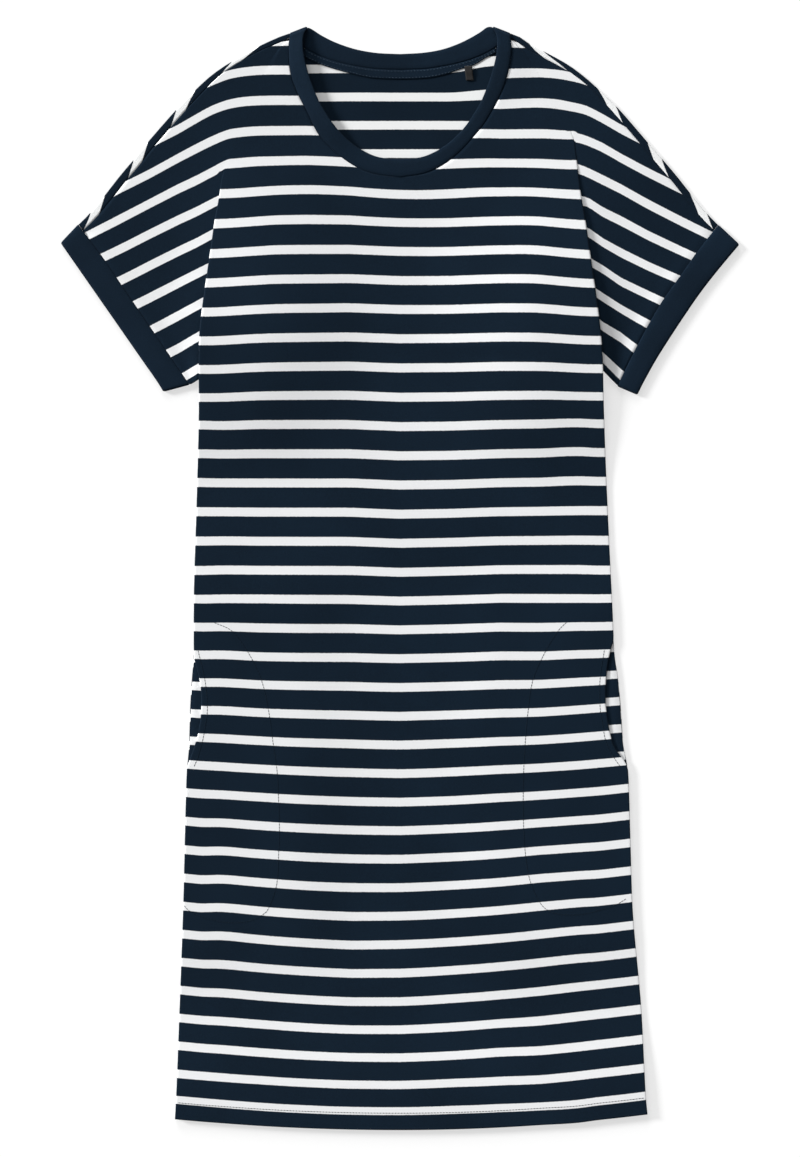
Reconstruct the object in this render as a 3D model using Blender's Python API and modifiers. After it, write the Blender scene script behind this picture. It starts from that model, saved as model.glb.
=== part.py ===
"""A striped nightshirt laid flat: front and back with sleeves in one, neckband, tape, cuffs, pocket bags.

All sizes are in millimetres. A point of the laid cloth is given by across, its distance from the
middle line towards one side, and down, its distance below a line 27 mm above the neckband. The
object is built in metres with +Z up: the back lies on the ground and the neck is towards +Y.
"""

import math

import bmesh
import bpy

NAME = "nightshirt"
MM = 0.001

# Cloth and layers
CLOTH = 1.2  # wall of the striped jersey
BAND = 2.0  # wall of the doubled neckband and cuffs
BAG = 1.0  # wall of a pocket bag
TAPE = 1.0  # wall of the tape inside the neck
TAB = 0.9  # wall of the small tab on the tape
LAYER = 1.6  # from one layer of jersey to the next
TURN = LAYER / 2  # how round a fold is
BACK_LEVEL = CLOTH / 2  # the back's middle surface
FRONT_LEVEL = BACK_LEVEL + LAYER
GAP = 0.3  # between pieces that meet at a seam
SEAM_GAP = 0.45  # the same along a curved seam, where short straight edges stand in for the curve
CUFF_GAP = 0.7  # and where a sleeve meets its cuff

# Frame
MIDDLE_DOWN = 578.3  # this far down is Y = 0

# Stripes: where the white rows lie on the middle of the front
FIRST_ROW = 42.5
ROW_STEP = 29.8
ROW_CLOSING = 0.0267  # rows draw together a little towards the hem

# Sleeves
UNDERARM_ROW = 10.35  # the seam under the sleeve follows this row
APEX_DOWN = (168.0, 130.0)  # where the pleat under the left and right arm begins
PLEAT_SHARE = 0.25  # depth of the pleat for each millimetre below its beginning
RETURN_DROP = 0.056
RISE_FROM, RISE_TO = -34.0, 0.0  # the layers part over this stretch of the pleat's beginning
FOLD_FROM, FOLD_TO = -16.0, 14.0  # and it folds over this stretch
PLEAT_LIFT = 4 * LAYER
SLEEVE_LIFT = 2 * LAYER
SLEEVE_FALL = 44.0  # the sleeve comes down to the ground within this of the body's edge
CUFF_LIFT = 1.0
UNDERARM_DOWN = 384.0
STEEP = 0.27  # the layer between the folds slopes this much where the pleat is shallow

# A fold from one layer to the next: how far out and how far up its points lie
ROUND = ((0.0, 0.0), (0.7071, 0.1464), (1.0, 0.5), (0.7071, 0.8536), (0.0, 1.0))

# Hem
HEM_ROW = 37.74
HEM_TURN_UP = 18.0
HEM_LIFT = 2 * LAYER

# Pockets
BAG_LIFT = LAYER

# down, left across, right across: edge of the body, from the pleat to the hem
SIDES = (
    (118.0, 168.0, 172.4),
    (150.0, 174.0, 174.9),
    (168.0, 177.0, 177.2),
    (191.0, 179.5, 179.8),
    (221.0, 184.8, 184.8),
    (249.0, 188.7, 188.7),
    (279.0, 193.0, 193.0),
    (308.0, 197.0, 197.0),
    (337.0, 199.8, 200.2),
    (366.0, 200.6, 202.3),
    (396.0, 200.6, 203.0),
    (500.0, 203.2, 207.2),
    (603.0, 206.0, 212.0),
    (650.0, 206.2, 214.3),
    (682.0, 208.5, 218.6),
    (710.0, 210.1, 221.1),
    (745.0, 211.1, 223.5),
    (770.0, 213.0, 227.9),
    (842.0, 215.0, 230.3),
    (900.0, 216.4, 232.0),
    (1013.0, 220.5, 241.5),
    (1096.0, 223.5, 245.5),
    (1116.0, 224.6, 247.4),
)

# down, left across, right across: front edge of the side pocket's opening
OPENING = (
    (640.0, 206.1, 213.6),
    (650.0, 206.0, 210.3),
    (659.0, 205.4, 208.3),
    (671.0, 202.2, 206.6),
    (688.0, 199.0, 205.4),
    (702.0, 198.3, 205.4),
    (716.0, 199.0, 206.9),
    (733.0, 201.5, 209.8),
    (742.0, 204.1, 212.0),
    (750.0, 206.6, 215.8),
    (756.0, 208.9, 220.4),
    (762.0, 211.0, 225.0),
    (768.0, 212.8, 227.8),
)

# across on the left, across on the right, down: edge of the shoulder from the neck to the cuff
SHOULDER = (
    (112.0, 112.0, 34.6),
    (123.5, 121.5, 38.7),
    (138.0, 131.0, 45.0),
    (169.0, 163.5, 62.3),
    (188.0, 182.0, 75.3),
    (203.5, 198.0, 89.3),
    (223.4, 219.0, 109.7),
    (251.7, 247.0, 142.0),
    (265.6, 262.0, 159.3),
    (280.0, 276.5, 176.3),
    (295.0, 291.7, 195.6),
    (309.0, 305.5, 212.5),
    (321.4, 317.9, 225.3),
)

# down, left and right setback: the shoulder seam lies this far in from the edge, on the front
SETBACK = (
    (34.0, 3.7, 3.7),
    (40.0, 5.0, 5.2),
    (46.0, 4.3, 5.5),
    (60.0, 3.9, 5.3),
    (72.0, 4.8, 4.5),
    (88.0, 6.5, 4.2),
    (106.0, 7.0, 5.8),
    (140.0, 7.3, 6.3),
    (178.0, 7.5, 6.6),
    (226.0, 7.0, 6.2),
)

# left across, left down, right across, right down: inner edge of the cuff from shoulder to underarm
CUFF_INNER = (
    (321.4, 225.0, 317.9, 225.3),
    (298.5, 255.6, 297.1, 251.9),
    (281.0, 281.2, 280.3, 275.8),
    (265.4, 304.1, 264.2, 298.2),
    (249.2, 327.8, 250.8, 320.4),
    (232.0, 353.1, 237.1, 345.9),
    (219.0, 372.2, 223.8, 372.6),
    (211.0, 384.0, 217.9, 385.5),
)

# left across, left down, right across, right down: outer edge of the cuff
CUFF_OUTER = (
    (339.0, 243.6, 339.0, 245.0),
    (319.0, 272.3, 316.5, 272.0),
    (303.5, 294.6, 299.5, 294.0),
    (288.5, 316.1, 284.0, 316.5),
    (272.5, 339.1, 269.5, 338.5),
    (255.5, 363.5, 256.0, 360.0),
    (243.0, 381.4, 243.5, 382.5),
    (237.0, 391.0, 237.8, 394.0),
)

# row, left down, left slope, right down, right slope: a row of the sleeve at 210 across
ARM_AT = 210.0
ARM_ROWS = (
    (-1.0, 30.5, 0.53, 31.5, 0.52),
    (0.0, 60.5, 0.53, 61.5, 0.52),
    (1.0, 90.5, 0.53, 92.0, 0.52),
    (2.0, 122.0, 0.53, 124.0, 0.51),
    (3.0, 151.0, 0.52, 152.5, 0.50),
    (4.0, 182.0, 0.516, 184.0, 0.496),
    (5.0, 214.0, 0.491, 216.0, 0.465),
    (6.0, 245.0, 0.507, 248.0, 0.453),
    (7.0, 276.0, 0.528, 276.0, 0.488),
    (8.0, 308.0, 0.56, 302.0, 0.56),
    (9.0, 341.0, 0.55, 331.0, 0.72),
    (10.0, 374.0, 0.50, 365.0, 0.87),
    (10.35, 385.0, 0.50, 378.0, 0.90),
)

# row, softness: how gently a row bends into the sleeve
BEND = ((0.0, 10.0), (1.0, 8.5), (2.0, 6.4), (3.0, 5.3), (4.0, 3.2), (5.0, 1.6), (6.0, 1.0))

# down, left, right: how much higher a row lies at 200 across than at the middle
BOW = ((560.0, 0.0, 0.0), (630.0, 3.0, 3.0), (740.0, 7.5, 8.0), (900.0, 9.5, 11.0), (1130.0, 8.5, 10.2))

# down, sag, droop: how much lower a row lies in the middle, and beside the pleat
SAG = (
    (140.0, 4.0, 0.0),
    (190.0, 4.0, 2.5),
    (220.0, 2.0, 3.5),
    (250.0, 1.0, 4.0),
    (366.0, 0.0, 3.0),
    (426.0, 0.0, 0.0),
)

# down, left across, right across: line of the soft crease that runs from the pleat towards the neck
CREASE = (
    (42.0, 118.0, 118.0),
    (72.0, 143.0, 146.0),
    (90.0, 154.0, 161.0),
    (102.0, 160.0, 168.0),
    (116.0, 165.0, 171.6),
    (132.0, 170.0, 173.6),
    (161.0, 175.0, 176.5),
    (168.0, 177.0, 177.2),
)

# seam across, seam down, free across, free down: front of the neckband from the shoulder to the middle
NECK_FRONT = (
    (110.5, 34.0, 92.5, 27.0),
    (111.0, 41.0, 96.5, 36.0),
    (111.5, 51.0, 97.0, 47.0),
    (110.0, 66.0, 95.5, 58.5),
    (107.5, 78.0, 92.8, 69.5),
    (103.5, 89.0, 90.0, 79.0),
    (98.5, 100.0, 85.5, 91.0),
    (92.5, 111.0, 80.0, 103.5),
    (85.0, 125.0, 71.5, 117.5),
    (78.0, 135.0, 65.5, 126.0),
    (70.0, 144.5, 58.5, 134.0),
    (58.5, 155.5, 48.0, 143.5),
    (44.0, 166.0, 35.5, 151.5),
    (26.0, 173.8, 20.5, 157.3),
    (0.0, 177.5, 0.0, 159.5),
)

# seam across, seam down, free across, free down: back of the neckband from the shoulder to the middle
NECK_BACK = (
    (110.5, 34.0, 92.5, 27.0),
    (103.0, 42.0, 87.0, 32.5),
    (91.0, 50.5, 79.0, 38.0),
    (76.0, 57.5, 67.0, 43.5),
    (60.0, 62.5, 54.0, 48.0),
    (43.5, 66.0, 40.0, 51.0),
    (25.0, 68.7, 22.0, 53.4),
    (0.0, 69.7, 0.0, 54.3),
)
NECK_BACK_MIDDLE = BAND / 2
NECK_TOP_MIDDLE = 3.9  # front of the neckband where it lies over the back of it
NECK_FRONT_MIDDLE = 2.9

TAPE_FROM, TAPE_TO, TAPE_END = 0.4, 9.8, 97.0
TAPE_LEVEL = CLOTH + GAP + TAPE / 2

# across, down, level: the tab from its top to its foot
TAB_SPINE = ((68.2, 66.0, 3.3), (68.6, 70.0, 3.3), (68.9, 72.5, 3.1), (69.4, 76.0, 2.2), (69.9, 80.0, 1.95))
TAB_WIDTH = 7.5

# down, left inner, left outer, right inner, right outer: a pocket bag row by row
BAG_ROWS = (
    (619.0, 198.0, 205.4, 184.0, 212.2),
    (624.0, 184.0, 205.4, 165.0, 212.4),
    (632.0, 167.0, 205.4, 157.5, 212.7),
    (652.0, 152.0, 205.6, 145.0, 214.2),
    (680.0, 138.5, 207.8, 132.7, 217.9),
    (713.0, 131.0, 209.4, 127.7, 220.6),
    (741.0, 127.2, 210.3, 125.0, 222.6),
    (770.0, 123.0, 212.2, 123.6, 227.1),
    (800.0, 121.4, 213.0, 123.1, 228.1),
    (827.0, 120.5, 213.8, 123.4, 229.0),
    (855.0, 121.4, 214.6, 125.6, 229.8),
    (884.0, 124.0, 215.2, 131.0, 230.7),
    (900.0, 128.0, 215.4, 139.5, 224.0),
    (912.0, 135.5, 207.5, 152.0, 203.0),
    (919.0, 146.0, 190.0, 167.0, 190.0),
)

# Rows of the grids below the neck
PLEAT_ROWS = (5.35, 5.9, 6.5, 7.1, 7.8, 8.5, 9.2, 9.8, UNDERARM_ROW)
BODY_ROWS = (10.9, 11.5, 12.2, 13.1, 14.4, 16.0, 17.6, 19.2, 20.2, 20.7, 21.15, 21.6, 22.1, 22.6,
             23.1, 23.6, 24.0, 24.4, 24.8, 25.3, 26.5, 28.2, 30.0, 31.6, 33.4, 35.1, 36.3, 37.0)
FRONT_SHARES = (0.0, 0.2, 0.4, 0.58, 0.73, 0.85, 0.94, 1.0)
SLEEVE_SHARES = (0.14, 0.3, 0.5, 0.72, 0.88, 1.0)

BACK_MIDDLE_STARTS = (92.0, 115.0, 137.0, 158.0, 177.0)  # rows of the back below its neckband
EDGE_ROWS = 8  # this many rows of a panel end on the shoulder, the rest on the cuff
CUFF_END_ROWS = (4.1, 4.3, 4.5, 4.7, 4.88, 5.06)


def smooth(x):
    """0 below 0, 1 above 1, and an easy curve between."""
    x = min(1.0, max(0.0, x))
    return x * x * (3 - 2 * x)


def curve(table, column, at):
    """Read a column of a table at a value of its first column, without corners."""
    last = len(table) - 1
    k = 0
    while k < last - 1 and at > table[k + 1][0]:
        k += 1
    x0, x1 = table[k][0], table[k + 1][0]
    y0, y1 = table[k][column], table[k + 1][column]
    step = (y1 - y0) / (x1 - x0)

    def lean(i):
        if i == 0 or i == last:
            return step
        a = (table[i][column] - table[i - 1][column]) / (table[i][0] - table[i - 1][0])
        b = (table[i + 1][column] - table[i][column]) / (table[i + 1][0] - table[i][0])
        return 0.0 if a * b <= 0 else 2 * a * b / (a + b)

    if at <= x0 and k == 0 or at >= x1:
        return y0 + step * (at - x0) if at < x0 else y1 + (step * (at - x1) if k == last - 1 else 0)
    t, width = (at - x0) / (x1 - x0), x1 - x0
    m0, m1 = lean(k) * width, lean(k + 1) * width
    return (y0 * (2 * t**3 - 3 * t**2 + 1) + m0 * (t**3 - 2 * t**2 + t)
            + y1 * (3 * t**2 - 2 * t**3) + m1 * (t**3 - t**2))


def on_line(points, share):
    """The point a share of the way along a line of points, and the line's direction there."""
    lengths = [math.dist(a, b) for a, b in zip(points, points[1:])]
    left = share * sum(lengths)
    for a, b, length in zip(points, points[1:], lengths):
        if left <= length or b is points[-1]:
            t = min(1.0, left / length)
            return (a[0] + (b[0] - a[0]) * t, a[1] + (b[1] - a[1]) * t), \
                   ((b[0] - a[0]) / length, (b[1] - a[1]) / length)
        left -= length


def moved(points, distance):
    """A line of points moved sideways, to the right of its direction as down grows."""
    out = []
    for i, p in enumerate(points):
        a, b = points[max(0, i - 1)], points[min(len(points) - 1, i + 1)]
        length = math.dist(a, b)
        d = distance(p) if callable(distance) else distance
        out.append((p[0] - d * (b[1] - a[1]) / length, p[1] + d * (b[0] - a[0]) / length))
    return out


class Half:
    """One side of a panel: where its rows run in the plane and how high its layers lie."""

    def __init__(self, side, front):
        self.side, self.front = side, front
        self.sign = (-1, 1)[side]
        edge = [(r[side], r[2]) for r in SHOULDER]
        cuff = [(r[2 * side], r[2 * side + 1]) for r in CUFF_INNER]
        cuff = moved(cuff, CUFF_GAP)
        self.edge = edge
        self.seam = moved(edge, lambda p: curve(SETBACK, 1 + side, p[1]))
        self.shoulder = moved(self.seam, GAP) if front else edge
        share = SETBACK[-1][1 + side] / math.dist(cuff[0], cuff[1]) if front else 0.0
        corner = tuple(a + (b - a) * share for a, b in zip(cuff[0], cuff[1]))
        self.shoulder = self.shoulder[:-1] + [corner]
        self.cuff = [corner] + cuff[1:]

    def edge_across(self, down):
        """The body's edge at a height."""
        across = curve(SIDES, 1 + self.side, down)
        if self.front and OPENING[0][0] < down < OPENING[-1][0]:
            across = min(across, curve(OPENING, 1 + self.side, down))
        return across

    def body_down(self, row, across):
        """How far down a row lies on the body."""
        level = FIRST_ROW + ROW_STEP * row - ROW_CLOSING * row * row
        sag = curve(SAG, 1, max(140.0, min(426.0, level))) if self.front else 0.0
        droop = curve(SAG, 2, max(140.0, min(426.0, level)))
        bow = curve(BOW, 1 + self.side, max(560.0, min(1130.0, level)))
        near = curve(SIDES, 1 + self.side, max(118.0, min(1116.0, level)))
        return (level + sag * max(0.0, 1 - (across / 100.0) ** 2) ** 2 - bow * (across / 200.0) ** 2
                + droop * smooth((across - near + 70.0) / 70.0))

    def arm_down(self, row, across):
        """How far down a row lies on the sleeve, and on its way into it."""
        body = self.body_down(row, min(across, 110.0))
        arm = curve(ARM_ROWS, 1 + 2 * self.side, row) \
            + curve(ARM_ROWS, 2 + 2 * self.side, row) * (across - ARM_AT)
        soft = curve(BEND, 1, max(0.0, min(6.0, row)))
        x = (arm - body) / soft
        return body + soft * (x if x > 30 else math.log(1 + math.exp(x)))

    def row_at(self, across, down, arm=True):
        """The row that runs through a point."""
        where = self.arm_down if arm else self.body_down
        low, high = -2.0, 40.0 if not arm else 12.0
        for _ in range(40):
            row = (low + high) / 2
            if where(row, across) < down:
                low = row
            else:
                high = row
        return row

    def end_on(self, line, row):
        """Where a row meets the cuff."""
        low, high = 0.0, 1.0
        for _ in range(40):
            t = (low + high) / 2
            (across, down), _ = on_line(line, t)
            if down < self.arm_down(row, across):
                low = t
            else:
                high = t
        return on_line(line, t)[0]

    def body_level(self, across, down):
        """Height of the middle surface on the body."""
        if not self.front:
            return BACK_LEVEL
        bag = (smooth((across - 60.0) / 35.0) * smooth((down - 560.0) / 40.0)
               * (1 - smooth((down - 945.0) / 45.0)))
        hem = smooth((down - 1060.0) / 38.0)
        return FRONT_LEVEL + BAG_LIFT * bag + HEM_LIFT * hem

    def pleat_lift(self, across, down, fold, inner):
        """Extra height of the front over the pleat that lies under it."""
        if not self.front:
            return 0.0
        fade = 1 - smooth((down - UNDERARM_DOWN) / 55.0)
        return PLEAT_LIFT * fold * fade * smooth((across - (inner - 72.0)) / 58.0)

    def neck_lift(self, across, down, start):
        """Extra height of the front beside the neckband, near the shoulder."""
        if not self.front:
            return 0.0
        return 0.8 * (1 - smooth((down - 70.0) / 50.0)) * (1 - smooth((across - start) / 30.0))

    def full_row(self, start, end, start_row, end_row):
        """A row from the neck or the middle through the pleat to the shoulder or the cuff."""
        length = end[0] - start[0]
        mid_row = start_row + (end_row - start_row) * 0.55
        # the fold of the body over the sleeve
        fold_across = curve(SIDES, 1 + self.side, 200.0)
        for _ in range(8):
            fold_down = self.body_down(mid_row, fold_across)
            fold_across = curve(SIDES, 1 + self.side, max(118.0, fold_down))
        below = fold_down - APEX_DOWN[self.side]
        fold = smooth((below - FOLD_FROM) / (FOLD_TO - FOLD_FROM))
        rise = smooth((below - RISE_FROM) / (RISE_TO - RISE_FROM))
        depth = max(1.7, PLEAT_SHARE * below)
        crease = curve(CREASE, 1 + self.side, max(42.0, min(168.0, fold_down)))
        crease = min(crease, start[0] + 0.55 * length)
        half = min(9.0, 0.12 * length)
        inner = fold_across - depth
        turn = min(TURN, depth / 2)
        step = -LAYER if self.front else LAYER
        top = PLEAT_LIFT if self.front else 0.0
        root = SLEEVE_LIFT
        base = FRONT_LEVEL if self.front else BACK_LEVEL
        drop = RETURN_DROP * max(0.0, below)
        steep = STEEP * (1 - smooth((depth - 2.0) / 5.0))
        folded = [(fold_across - turn * (1 - out), fold_down, top + step * up * (1 - steep))
                  for out, up in ROUND]
        folded += [(inner + turn * (1 - out), fold_down + drop, top + step * (2 - (1 - up) * (1 - steep)))
                   for out, up in ROUND]
        open_across = [crease + half * (2 * k / (len(folded) - 1) - 1) for k in range(len(folded))]
        reach = crease + 1.35 * half + fold * (fold_across + 1.6 - crease - 1.35 * half)

        def row_here(across):
            share = smooth((across - start[0]) / max(1.0, length))
            return start_row + (end_row - start_row) * share

        points = []
        body_end = open_across[0] - 0.5 * half + fold * (fold_across - 8.0 - open_across[0] + 0.5 * half)
        for share in FRONT_SHARES:
            across = start[0] + (body_end - start[0]) * share
            row = row_here(across)
            flat = self.arm_down(row, across)
            down = flat + fold * (self.body_down(row, across) - flat)
            if share == 0.0:
                down = start[1]
            level = (self.body_level(across, down) + self.neck_lift(across, down, start[0])
                     + self.pleat_lift(across, down, rise, inner))
            points.append((across, down, level))
        for (a, d, lift), flat_across in zip(folded, open_across):
            row = row_here(flat_across)
            flat_down = self.arm_down(row, flat_across)
            points.append((flat_across + fold * (a - flat_across), flat_down + fold * (d - flat_down),
                           base + rise * lift))
        first = self.arm_down(row_here(reach), reach)
        points.append((reach, first, base + root * rise))
        fall = min(SLEEVE_FALL, 0.85 * (end[0] - reach))
        room = min(3.0, 0.5 * (end[0] - reach) * SLEEVE_SHARES[-2])
        for share in SLEEVE_SHARES:
            across = reach + (end[0] - reach) * share
            if share < 1.0:
                across = min(across, reach + (end[0] - room - reach) * share / SLEEVE_SHARES[-2])
            down = end[1] if share == 1.0 else self.arm_down(row_here(across), across)
            lift = root * rise * (1 - smooth((across - reach) / fall))
            if self.front and end_row > 3.9:
                lift += CUFF_LIFT * smooth((end_row - 3.9) / 0.3) * (1 - smooth((end[0] - across) / 14.0))
            points.append((across, down, base + lift))
        return points

    def side_row(self, row):
        """A row from the middle to the side, below the arm."""
        across = curve(SIDES, 1 + self.side, 400.0)
        for _ in range(8):
            down = self.body_down(row, across)
            across = self.edge_across(down)
        inner = across - 46.0
        points = []
        for share in FRONT_SHARES + (None, None):
            if share is None:
                here = across - (TURN if len(points) == len(FRONT_SHARES) else 0.0)
            else:
                here = (across - 8.0) * share
            down = self.body_down(row, here)
            level = self.body_level(here, down) + self.pleat_lift(here, down, 1.0, inner)
            points.append((here, down, level))
        return points

    def hem_rows(self):
        """The last rows: round the edge of the hem and back up inside."""
        edge = self.side_row(HEM_ROW)
        step = -LAYER if self.front else LAYER
        out = []
        turns = [(TURN * (1 - far), rise) for far, rise in ROUND] + [(HEM_TURN_UP, 1.0)]
        for back, lift in turns:
            narrow = self.edge_across(edge[-1][1] - back) / edge[-1][0]
            out.append([(a * narrow, d - back, z + step * lift) for a, d, z in edge])
        return out

    def wrap(self, point, row_share):
        """The back's cloth round the edge of the shoulder to the seam on the front."""
        _, (dx, dy) = on_line(self.edge, row_share)
        inward = (-dy, dx)
        reach = curve(SETBACK, 1 + self.side, point[1]) - GAP
        out = []
        for distance, lift in [(TURN * (1 - far), rise) for far, rise in ROUND[1:]] + [(reach, 1.0)]:
            out.append((point[0] + inward[0] * distance, point[1] + inward[1] * distance,
                        BACK_LEVEL + LAYER * lift))
        return out, (point[0] + inward[0] * TURN, point[1] + inward[1] * TURN)

    def rows(self):
        """All rows from the neck to the hem, each a list of (across, down, level)."""
        if self.front:
            starts = moved([row[:2] for row in NECK_FRONT], -SEAM_GAP)[1:]
        else:
            starts = moved([row[:2] for row in NECK_BACK], -SEAM_GAP)
            starts += [(0.0, down) for down in BACK_MIDDLE_STARTS]
        out = []
        for i, start in enumerate(starts):
            if i == 0:
                tip, _ = on_line(self.shoulder, 0.0)
                extra, turned = self.wrap(tip, 0.0)
                count = len(FRONT_SHARES) + 2 * len(ROUND) + 1 + len(SLEEVE_SHARES)
                tip = (start[0] + GAP, start[1], FRONT_LEVEL) if self.front else (*turned, BACK_LEVEL)
                out.append([tip] * count + ([] if self.front else extra))
                continue
            if start[0] <= 0.0:
                start = (0.0, start[1])
                start_row = self.row_at(0.0, start[1], arm=False)
            else:
                start_row = self.row_at(start[0], start[1])
            if i < EDGE_ROWS:
                share = i / (EDGE_ROWS - 1)
                end, _ = on_line(self.shoulder, share)
                end_row = self.row_at(end[0], end[1])
                if self.front:
                    out.append(self.full_row(start, end, start_row, end_row))
                else:
                    extra, end = self.wrap(end, share)
                    out.append(self.full_row(start, end, start_row, end_row) + extra)
            else:
                end_row = CUFF_END_ROWS[i - EDGE_ROWS]
                end = self.end_on(self.cuff, end_row)
                out.append(self.full_row(start, end, start_row, end_row))
        for row in PLEAT_ROWS:
            end = self.end_on(self.cuff, row)
            out.append(self.full_row((0.0, self.body_down(row, 0.0)), end, row, row))
        for row in BODY_ROWS:
            out.append(self.side_row(row))
        return out + self.hem_rows()


def place(across, down, level, sign):
    """A point of the laid cloth in metres."""
    return (sign * across * MM, (MIDDLE_DOWN - down) * MM, level * MM)


def sheet(name, grids, wall, collection, colour, closed=False):
    """An object from grids of points: an open surface given its wall by a modifier."""
    bm = bmesh.new()
    known = {}

    def vertex(p):
        key = tuple(round(c, 6) for c in p)
        if key not in known:
            known[key] = bm.verts.new(p)
        return known[key]

    for grid, flip in grids:
        rows = [[vertex(p) for p in row] for row in grid]
        if closed:
            rows.append(rows[0])
        for one, two in zip(rows, rows[1:]):
            for j in range(min(len(one), len(two)) - 1):
                corners = list(dict.fromkeys((one[j], two[j], two[j + 1], one[j + 1])))
                if len(corners) > 2:
                    bm.faces.new(corners[::-1] if flip else corners)
    mesh = bpy.data.meshes.new(name)
    bm.to_mesh(mesh)
    bm.free()
    obj = bpy.data.objects.new(name, mesh)
    collection.objects.link(obj)
    wall_modifier = obj.modifiers.new("wall", "SOLIDIFY")
    wall_modifier.thickness = wall * MM
    wall_modifier.offset = 0.0
    wall_modifier.use_quality_normals = True
    material = bpy.data.materials.new(name)
    material.use_nodes = True
    shader = next(n for n in material.node_tree.nodes if n.type == "BSDF_PRINCIPLED")
    shader.inputs["Base Color"].default_value = (*colour, 1.0)
    shader.inputs["Roughness"].default_value = 0.85
    mesh.materials.append(material)
    return obj


def panel(name, front, collection, colour):
    """The front or the back, both sides in one cloth."""
    grids = []
    for side in (0, 1):
        half = Half(side, front)
        grid = [[place(*p, half.sign) for p in row] for row in half.rows()]
        grids.append((grid, side == 0))
    return sheet(name, grids, CLOTH, collection, colour)


def neckband(collection, colour):
    """A closed ring: the front lies on top and folds over at each shoulder into the back."""
    ring = []

    def station(row, level, sign, shift=(0.0, 0.0)):
        seam = (row[0] + shift[0], row[1] + shift[1])
        free = (row[2] + shift[0], row[3] + shift[1])
        return [place(free[0] + (seam[0] - free[0]) * t, free[1] + (seam[1] - free[1]) * t, level, sign)
                for t in (0.0, 0.5, 1.0)]

    fold = NECK_FRONT[0]
    length = math.dist(fold[:2], fold[2:])
    turn = (NECK_TOP_MIDDLE - NECK_BACK_MIDDLE) / 2
    inward = (-(fold[1] - fold[3]) / length * turn, (fold[0] - fold[2]) / length * turn)
    for sign in (-1, 1):
        part = []
        for row in NECK_FRONT[:0:-1]:
            rise = (NECK_TOP_MIDDLE - NECK_FRONT_MIDDLE) * (1 - smooth((row[1] - 62) / 48))
            level = NECK_FRONT_MIDDLE + rise
            part.append(station(row, level, sign))
        part.append(station(fold, NECK_TOP_MIDDLE, sign, inward))
        part.append(station(fold, NECK_BACK_MIDDLE + turn, sign))
        part.append(station(fold, NECK_BACK_MIDDLE, sign, inward))
        part += [station(row, NECK_BACK_MIDDLE, sign) for row in NECK_BACK[1:]]
        ring.append(part)
    grid = ring[0] + ring[1][-2:0:-1]
    return sheet("neckband", [(grid, False)], BAND, collection, colour, closed=True)


def neck_tape(collection, colour):
    """The tape along the back of the neck, made from the seam's line moved into the panel."""
    line = [(-r[0], r[1]) for r in NECK_BACK] + [(r[0], r[1]) for r in NECK_BACK[-2::-1]]
    line = [p for p in line if abs(p[0]) < TAPE_END]
    edges = [moved(line, d) for d in (TAPE_FROM, (TAPE_FROM + TAPE_TO) / 2, TAPE_TO)]
    grid = [[place(e[i][0], e[i][1], TAPE_LEVEL, 1) for e in edges] for i in range(len(line))]
    return sheet("neck_tape", [(grid, False)], TAPE, collection, colour)


def neck_tab(collection, colour):
    """The small tab that hangs from the tape."""
    grid = [[place(a + TAB_WIDTH * t, d, z, 1) for t in (-0.5, 0.0, 0.5)] for a, d, z in TAB_SPINE]
    return sheet("neck_tab", [(grid, False)], TAB, collection, colour)


def cuff(name, side, collection, colour):
    """A doubled band round the end of the sleeve, pressed flat: a closed ring of sections."""
    low, high = BAND / 2, BAND / 2 + BAND + 0.4
    turn = (high - low) / 2
    inner = [(r[2 * side], r[2 * side + 1]) for r in CUFF_INNER]
    outer = [(r[2 * side], r[2 * side + 1]) for r in CUFF_OUTER]
    sections = list(zip(inner, outer))
    sign = (-1, 1)[side]

    def section(k, along, level):
        (ia, ib), (oa, ob) = sections[k]
        towards = 1 if k == 0 else -1
        (na, nb), _ = sections[k + towards]
        length = math.dist((ia, ib), (na, nb))
        step = ((na - ia) / length * along, (nb - ib) / length * along)
        return [place(ia + (oa - ia) * t + step[0], ib + (ob - ib) * t + step[1], level, sign)
                for t in (0.0, 0.33, 0.67, 1.0)]

    last = len(sections) - 1
    ring = [section(0, turn, high)]
    ring += [section(k, 0.0, high) for k in range(1, last)]
    ring += [section(last, turn, high), section(last, 0.0, (low + high) / 2), section(last, turn, low)]
    ring += [section(k, 0.0, low) for k in range(last - 1, 0, -1)]
    ring += [section(0, turn, low), section(0, 0.0, (low + high) / 2)]
    return sheet(name, [(ring, side == 0)], BAND, collection, colour, closed=True)


def pocket_bag(name, side, collection, colour):
    """One layer of jersey behind the front, its outer edge along the side seam."""
    grid = []
    for row in BAG_ROWS:
        inner, outer = row[1 + 2 * side], row[2 + 2 * side]
        grid.append([place(inner + (outer - inner) * t, row[0], FRONT_LEVEL, (-1, 1)[side])
                     for t in (0.0, 0.3, 0.6, 0.85, 1.0)])
    return sheet(name, [(grid, side == 0)], BAG, collection, colour)


def build():
    for obj in list(bpy.data.objects):
        bpy.data.objects.remove(obj, do_unlink=True)
    parts = bpy.data.collections.new(NAME)
    bpy.context.scene.collection.children.link(parts)
    navy, band, dark = (0.012, 0.018, 0.032), (0.016, 0.024, 0.045), (0.012, 0.009, 0.008)
    panel("front", True, parts, navy)
    panel("back", False, parts, navy)
    neckband(parts, band)
    neck_tape(parts, band)
    neck_tab(parts, dark)
    cuff("cuff_left", 0, parts, band)
    cuff("cuff_right", 1, parts, band)
    pocket_bag("pocket_bag_left", 0, parts, navy)
    pocket_bag("pocket_bag_right", 1, parts, navy)


build()
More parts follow.
